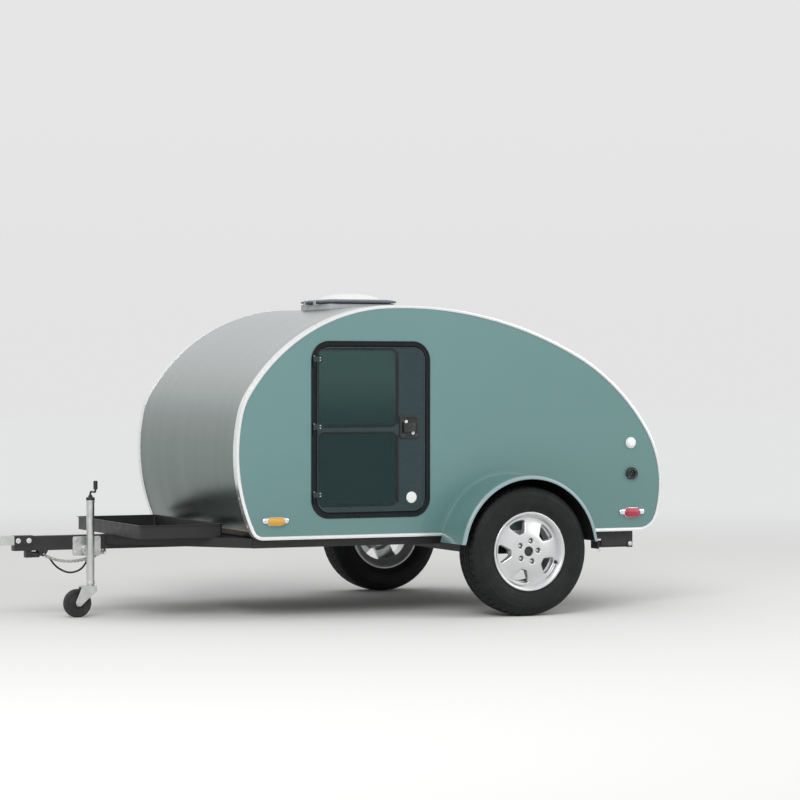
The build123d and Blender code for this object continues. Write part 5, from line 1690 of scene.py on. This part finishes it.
def make_tray_details():
    """Rolled bead along the tray's rim, and the bolts through its floor."""
    low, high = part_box("front_tray")
    inset = 0.0045
    path = plan_ring((low.x + high.x) / 2, 0, (high.x - low.x) / 2 - inset,
                     (high.y - low.y) / 2 - inset, 0.0185, high.z - 0.0022, 8)
    rings = []
    for before, at, after in zip(path[-1:] + path[:-1], path, path[1:] + path[:1]):
        way = (after - before).normalized()
        rings.append(arc(at, 1.0, 0, pi, 6, Vector((way.y, -way.x, 0)) * 0.0042, along_z * 0.0021))
    bm = bmesh.new()
    add_rings(bm, rings, closed=True)
    finish_bmesh(bm, "tray_rim_bead", "frame_paint", "trailer", 60)

    bm = bmesh.new()
    for x in (low.x + 0.05, high.x - 0.05):
        for y in (-0.4, -0.013, 0.013, 0.4):
            add_bolt(bm, (x, y, low.z + 0.003), along_z, 0.0062)
    finish_bmesh(bm, "tray_bolts", "steel", "trailer")


jack_tube_radius = 0.021
jack_swivel_z = 0.35
caster_radius = 0.075


def make_jack_details():
    tube_low, tube_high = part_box("jack_tube")
    crank_low, crank_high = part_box("jack_crank")
    mount_low, mount_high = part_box("jack_mount")
    tube_x, tube_y, radius = tube_low.x + 0.032, tube_low.y + jack_tube_radius, jack_tube_radius
    # Bands on the outer tube, each with its foot, height and thickness, and a grease fitting
    bands = ((tube_low.z, 0.016, 0.0013), (tube_high.z - 0.012, 0.012, 0.0011), (0.475, 0.005, 0.0009))
    bm = bmesh.new()
    for z, height, grow in bands:
        add_lathe(bm, (tube_x, tube_y, z), along_z, [
            (radius - 0.0012, 0.0), (radius + grow * 0.6, 0.0), (radius + grow, 0.0015),
            (radius + grow, height - 0.0015), (radius + grow * 0.6, height), (radius - 0.0012, height),
        ], 40)
    out = Vector((-0.9, -0.42, 0))
    add_lathe(bm, Vector((tube_x, tube_y, 0.545)) + out * radius, out, [
        (0.0, -0.002), (0.0042, -0.002), (0.0042, 0.003), (0.002, 0.0045), (0.0026, 0.007), (0.0012, 0.009),
        (0.0, 0.009),
    ], 12)
    finish_bmesh(bm, "jack_tube_bands", "zinc", "jack")

    # Ribs round the crank's grip, and the collar under the crank
    rib_profile = ((0.0104, -0.0016), (0.0115, -0.0008), (0.0117, 0.0), (0.0115, 0.0008), (0.0104, 0.0016))
    bm = bmesh.new()
    for step in range(7):
        z = crank_high.z - 0.008 - 0.006 * step
        add_rings(bm, [
            circle((tube_x, crank_low.y + 0.011, z + rise), grip, 28, along_x, along_y)
            for grip, rise in rib_profile
        ])
    add_lathe(bm, (tube_x, tube_y, crank_low.z + 0.024), along_z, [
        (0.0, 0.0), (0.0095, 0.0), (0.0095, 0.003), (0.0085, 0.0045), (0.0, 0.0045),
    ], 6)
    finish_bmesh(bm, "jack_grip_ribs", "wheel_rubber", "jack", 50)

    # Four bolts through the mount's plate, and the two pins that lock the swivel
    bm = bmesh.new()
    for x in (mount_low.x + 0.02, mount_high.x - 0.02):
        for z in (mount_low.z + 0.018, mount_high.z - 0.018):
            add_bolt(bm, (x, mount_high.y - 0.008, z), (0, -1, 0), 0.0062)
    finish_bmesh(bm, "jack_mount_bolts", "zinc", "trailer")
    bm = bmesh.new()
    for _, sign in sides:
        add_lathe(bm, (tube_x + sign * 0.0225, mount_high.y - 0.0305, jack_swivel_z), (0, -1, 0), [
            (0.0, -0.006), (0.0032, -0.006), (0.0032, 0.008), (0.0, 0.008),
        ], 14)
    finish_bmesh(bm, "jack_lock_pins", "steel", "jack")


def make_caster_details():
    """Nuts on the jack wheel's axle, its moulded spokes and the ribs of its tread."""
    low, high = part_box("jack_wheel")
    ram_low, ram_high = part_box("jack_ram")
    middle = Vector((low.x + caster_radius, (low.y + high.y) / 2, caster_radius))
    bm = bmesh.new()
    for y, sign in ((ram_low.y, -1), (ram_high.y, 1)):
        add_bolt(bm, (middle.x, y - sign * 0.0062, middle.z), (0, sign, 0), 0.0085)
    finish_bmesh(bm, "jack_axle_nuts", "zinc", "jack_leg")

    bm = bmesh.new()
    half = Vector((0.0135, 0.0035, 0.0035))
    for _, sign in sides:
        face = middle + along_y * sign * 0.0115
        for step, centre in enumerate(circle(face, 0.041, 6)):
            add_slab(bm, centre - half, centre + half, 0.0012, 2, Matrix.Rotation(-pi / 3 * step, 4, "Y"))
    finish_bmesh(bm, "jack_wheel_spokes", "black_plastic", "jack_caster")

    bm = bmesh.new()
    for offset in (-0.006, 0.006):
        add_rings(bm, [
            circle(middle + along_y * (offset + shift), caster_radius - drop, 56)
            for drop, shift in ((0.0008, -0.002), (0.0, -0.0012), (0.0, 0.0012), (0.0008, 0.002))
        ])
    finish_bmesh(bm, "jack_wheel_ribs", "wheel_rubber", "jack_caster", 50)


# Plate on the side rail that covers the folded rear leg
guard_low, guard_high = (1.560, 0.7045, 0.341), (1.722, 0.7067, 0.384)


def make_leg_details(side, sign):
    """Pivot bolts and guard of a rear leg, and the pin that holds its foot."""
    tube_low, tube_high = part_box(side + "_leg_tube")
    pivot = joint_at[side + "_leg_swing"]
    bm = bmesh.new()
    for way in (-1, 1):
        place = surface("chassis_frame", pivot + along_y * way * 0.08, (0, -way, 0))
        add_bolt(bm, place, (0, way, 0), 0.0075)
    finish_bmesh(bm, side + "_leg_bolts", "zinc", "trailer")
    bm = bmesh.new()
    add_block(bm, guard_low, guard_high, sign, 0.0008, 1)
    finish_bmesh(bm, side + "_leg_guard", "frame_paint", "trailer")
    bm = bmesh.new()
    pin = Vector((tube_low.x + 0.018, (tube_low.y + tube_high.y) / 2, tube_low.z))
    add_tube(bm, [pin - along_z * 0.010, pin + along_z * 0.001], 0.0035, 12)
    add_wire_ring(bm, pin - along_z * 0.0155, 0.0075, 18)
    finish_bmesh(bm, side + "_leg_pin", "zinc", side + "_leg")


make_chains()
make_coupler_details()
make_tray_details()
make_jack_details()
make_caster_details()
for side, sign in sides:
    make_leg_details(side, sign)

# Mattress: a foam slab in a sewn cover with piping along its edges


def cushion_grid(low, high, corner, step):
    """Closed block mesh with rounded upright corners and even cells, ready for a cloth solver."""
    middle, half = (low + high) / 2, (high - low) / 2
    path = even_ring(plan_ring(middle.x, middle.y, half.x, half.y, corner, 0.0, 6), step)
    heights = [low.z + (high.z - low.z) * share for share in (0.0, 0.25, 0.5, 0.75, 1.0)]
    bm = bmesh.new()
    add_rings(bm, [[Vector((point.x, point.y, z)) for point in path] for z in heights])
    return bm


def even_ring(points, spacing):
    """A closed line of points laid out again at an even distance."""
    lengths = [(after - point).length for point, after in zip(points, points[1:] + points[:1])]
    total = sum(lengths)
    count = max(12, int(round(total / spacing)))
    made, at, run = [], 0, 0.0
    for index in range(count):
        target = total * index / count
        while run + lengths[at] < target:
            run += lengths[at]
            at += 1
        made.append(points[at].lerp(points[(at + 1) % len(points)], (target - run) / lengths[at]))
    return made


def tuft_places():
    """Middles of the mattress buttons, seen from above."""
    low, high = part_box("mattress")
    size = high - low
    return [
        (low.x + size.x * (column + 0.5) / 5, low.y + size.y * (row + 0.5) / 4)
        for column in range(5) for row in range(4)
    ]


tuft_drop = 0.021


def make_mattress():
    low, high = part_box("mattress")
    bm = cushion_grid(low + Vector((0.014, 0.014, 0.004)),
                      high - Vector((0.014, 0.014, tuft_drop)), 0.05, 0.03)
    piece = finish_bmesh(bm, "mattress_cover", "cover", "trailer", 60)
    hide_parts("mattress")
    remesh = piece.modifiers.new("cells", "REMESH")
    remesh.mode = "VOXEL"
    remesh.voxel_size = 0.017
    bpy.context.view_layer.update()
    cells = bpy.data.meshes.new_from_object(piece.evaluated_get(bpy.context.evaluated_depsgraph_get()))
    piece.modifiers.clear()
    piece.data = cells
    before = [vertex.co.copy() for vertex in cells.vertices]
    bottom, top = min(point.z for point in before), max(point.z for point in before)
    held = []
    tufts = tuft_places()
    for index, point in enumerate(before):
        near = min(hypot(point.x - x, point.y - y) for x, y in tufts)
        if point.z < bottom + 0.004 or (point.z > top - 0.004 and near < 0.02):
            held.append(index)
    piece.vertex_groups.new(name="held").add(held, 1.0, "ADD")
    cloth = piece.modifiers.new("cover", "CLOTH")
    settings = cloth.settings
    settings.use_pressure = True
    settings.uniform_pressure_force = 2.0
    settings.tension_stiffness = settings.compression_stiffness = 20.0
    settings.bending_stiffness = 1.0
    settings.effector_weights.gravity = 0
    settings.vertex_group_mass = "held"
    cloth.point_cache.frame_start = 1
    cloth.point_cache.frame_end = 20
    scene = bpy.context.scene
    for step in range(1, 21):
        scene.frame_set(step)
    settled = bpy.data.meshes.new_from_object(piece.evaluated_get(bpy.context.evaluated_depsgraph_get()))
    piece.modifiers.clear()
    # The cover stretches only so far: movement is capped without a hard edge
    give = 0.015
    for vertex, home in zip(settled.vertices, before):
        move = vertex.co - home
        if move.length > 0.0001:
            vertex.co = home + move.normalized() * give * (1 - exp(-move.length / give))
    piece.data = settled
    scene.frame_set(1)
    for face in settled.polygons:
        face.use_smooth = True
    smooth = piece.modifiers.new("smooth", "SUBSURF")
    smooth.levels = smooth.render_levels = 1


def make_mattress_piping():
    """Cords sewn round the upper and the lower edge, and the buttons of the tufts."""
    low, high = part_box("mattress")
    middle = (low + high) / 2
    half = (high - low) / 2
    bm = bmesh.new()
    for z in (low.z + 0.0085, high.z - tuft_drop - 0.002):
        ring = plan_ring(middle.x, middle.y, half.x - 0.0075, half.y - 0.0075, 0.054, z, 8)
        add_tube(bm, even_ring(ring, 0.02), 0.0045, 8, closed=True)
    finish_bmesh(bm, "mattress_piping", "piping", "trailer", 80)
    bm = bmesh.new()
    for x, y in tuft_places():
        add_lathe(bm, (x, y, high.z - tuft_drop), (0, 0, 1), [
            (0.0, -0.003), (0.0125, -0.003), (0.0138, 0.0), (0.0125, 0.0036), (0.0085, 0.0056),
            (0.0, 0.0062),
        ], 20)
    finish_bmesh(bm, "mattress_buttons", "piping", "trailer", 60)


make_mattress()
make_mattress_piping()

# Stage: pale floor, plain soft light and the photographer's camera


backdrop_colour = (0.77, 0.78, 0.78)
fade_start, fade_end = 4.0, 12.0
# Sky levels: share of the way from straight down to straight up, brightness
light_levels = ((0.0, 0.42), (0.5, 0.5), (0.56, 0.72), (0.75, 0.95), (1.0, 1.0))
pale_levels = ((0.0, 0.77), (0.51, 0.77), (0.58, 0.8), (0.72, 0.97), (1.0, 1.0))
sky_strength = 0.78


def make_ground():
    """Pale floor that fades into the backdrop's colour."""
    bpy.ops.mesh.primitive_plane_add(size=120)
    ground = bpy.context.object
    ground.name = "ground"
    material = bpy.data.materials.new("ground")
    material.use_nodes = True
    material.node_tree.nodes.clear()
    net = Nodes(material.node_tree)
    place = net.add("ShaderNodeTexCoord").outputs["Object"]
    away = net.add("ShaderNodeVectorMath", {0: place}, operation="LENGTH").outputs["Value"]
    mix = net.add("ShaderNodeMixShader", {
        "Fac": net.fade(away, fade_start, fade_end),
        1: net.add("ShaderNodeBsdfDiffuse", {"Color": (0.8, 0.8, 0.79, 1)}).outputs["BSDF"],
        2: net.add("ShaderNodeEmission", {"Color": (*backdrop_colour, 1)}).outputs["Emission"],
    })
    net.add("ShaderNodeOutputMaterial", {"Surface": mix.outputs["Shader"]})
    ground.data.materials.append(material)


def make_sky():
    """A plain soft sky that is brighter overhead. The camera, metal and glass see a pale backdrop."""
    world = bpy.data.worlds.new("studio")
    bpy.context.scene.world = world
    world.use_nodes = True
    world.node_tree.nodes.clear()
    net = Nodes(world.node_tree)
    place = net.add("ShaderNodeTexCoord").outputs["Generated"]
    height = net.add("ShaderNodeSeparateXYZ", {"Vector": place}).outputs["Z"]
    level = net.add("ShaderNodeMapRange", {"Value": height, "From Min": -1.0}).outputs["Result"]
    shades = []
    for levels, strength in ((light_levels, sky_strength), (pale_levels, 1.0)):
        ramp = net.add("ShaderNodeValToRGB", {"Fac": level})
        points = ramp.color_ramp.elements
        while len(points) < len(levels):
            points.new(0.5)
        for point, (at, value) in zip(points, levels):
            point.position = at
            point.color = (value, value, value, 1)
        shade = net.add("ShaderNodeBackground", {"Color": ramp.outputs["Color"], "Strength": strength})
        shades.append(shade.outputs["Background"])
    path = net.add("ShaderNodeLightPath").outputs
    either = net.math("MAXIMUM", path["Is Camera Ray"], path["Is Glossy Ray"])
    seen = net.math("MAXIMUM", either, path["Is Transmission Ray"])
    mix = net.add("ShaderNodeMixShader", {"Fac": seen, 1: shades[0], 2: shades[1]})
    net.add("ShaderNodeOutputWorld", {"Surface": mix.outputs["Shader"]})


def make_lamp(name, at, towards, size, watts):
    lamp = bpy.data.lights.new(name, "AREA")
    lamp.size = size
    lamp.energy = watts
    holder = bpy.data.objects.new(name, lamp)
    bpy.context.scene.collection.objects.link(holder)
    holder.location = at
    holder.rotation_mode = "QUATERNION"
    holder.rotation_quaternion = (Vector(towards) - Vector(at)).to_track_quat("-Z", "Y")


def make_camera():
    """The photographer's place, measured from the axle, and the way they looked."""
    data = bpy.data.cameras.new("photographer")
    data.lens = 123.8
    data.sensor_width = 36.0
    data.clip_end = 200.0
    camera = bpy.data.objects.new("photographer", data)
    bpy.context.scene.collection.objects.link(camera)
    camera.location = (axle_x - 6.716, -14.003, 1.294)
    yaw, pitch, roll = radians(24.645), radians(-0.57), radians(-0.03)
    level = Matrix.Rotation(-yaw, 4, "Z") @ Matrix.Rotation(pi / 2 + pitch, 4, "X")
    turn = level @ Matrix.Rotation(-roll, 4, "Z")
    camera.rotation_euler = turn.to_euler()
    bpy.context.scene.camera = camera


make_ground()
make_sky()
make_lamp("key", (-5.5, -8.0, 7.0), (0.3, 0.0, 0.7), 5.0, 520)
make_lamp("fill", (7.0, -5.0, 4.0), (0.3, 0.0, 0.8), 5.0, 160)
make_camera()
bpy.context.scene.view_settings.view_transform = "Standard"

# Wiring lead: the route's points, in metres
lead_radius = 0.005
lead_points = (
    (axle_x - 2.106, 0.0, 0.349),
    (axle_x - 2.128, 0.0, 0.262),
    (axle_x - 2.215, 0.0, 0.222),
    (axle_x - 2.300, 0.0, 0.262),
    (axle_x - 2.345, 0.0, 0.333),
    (axle_x - 2.390, 0.0, 0.333),
)


def make_lead():
    curve = bpy.data.curves.new("wiring_cable", "CURVE")
    curve.dimensions = "3D"
    curve.bevel_depth = lead_radius
    curve.bevel_resolution = 6
    curve.resolution_u = 16
    spline = curve.splines.new("NURBS")
    spline.points.add(len(lead_points) - 1)
    for point, at in zip(spline.points, lead_points):
        point.co = (*at, 1)
    spline.order_u = 3
    spline.use_endpoint_u = True
    cable = bpy.data.objects.new("wiring_cable", curve)
    bpy.context.scene.collection.objects.link(cable)
    curve.materials.append(finishes["cable"].material)
    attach(cable, "trailer")
    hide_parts("wiring_lead")


make_lead()
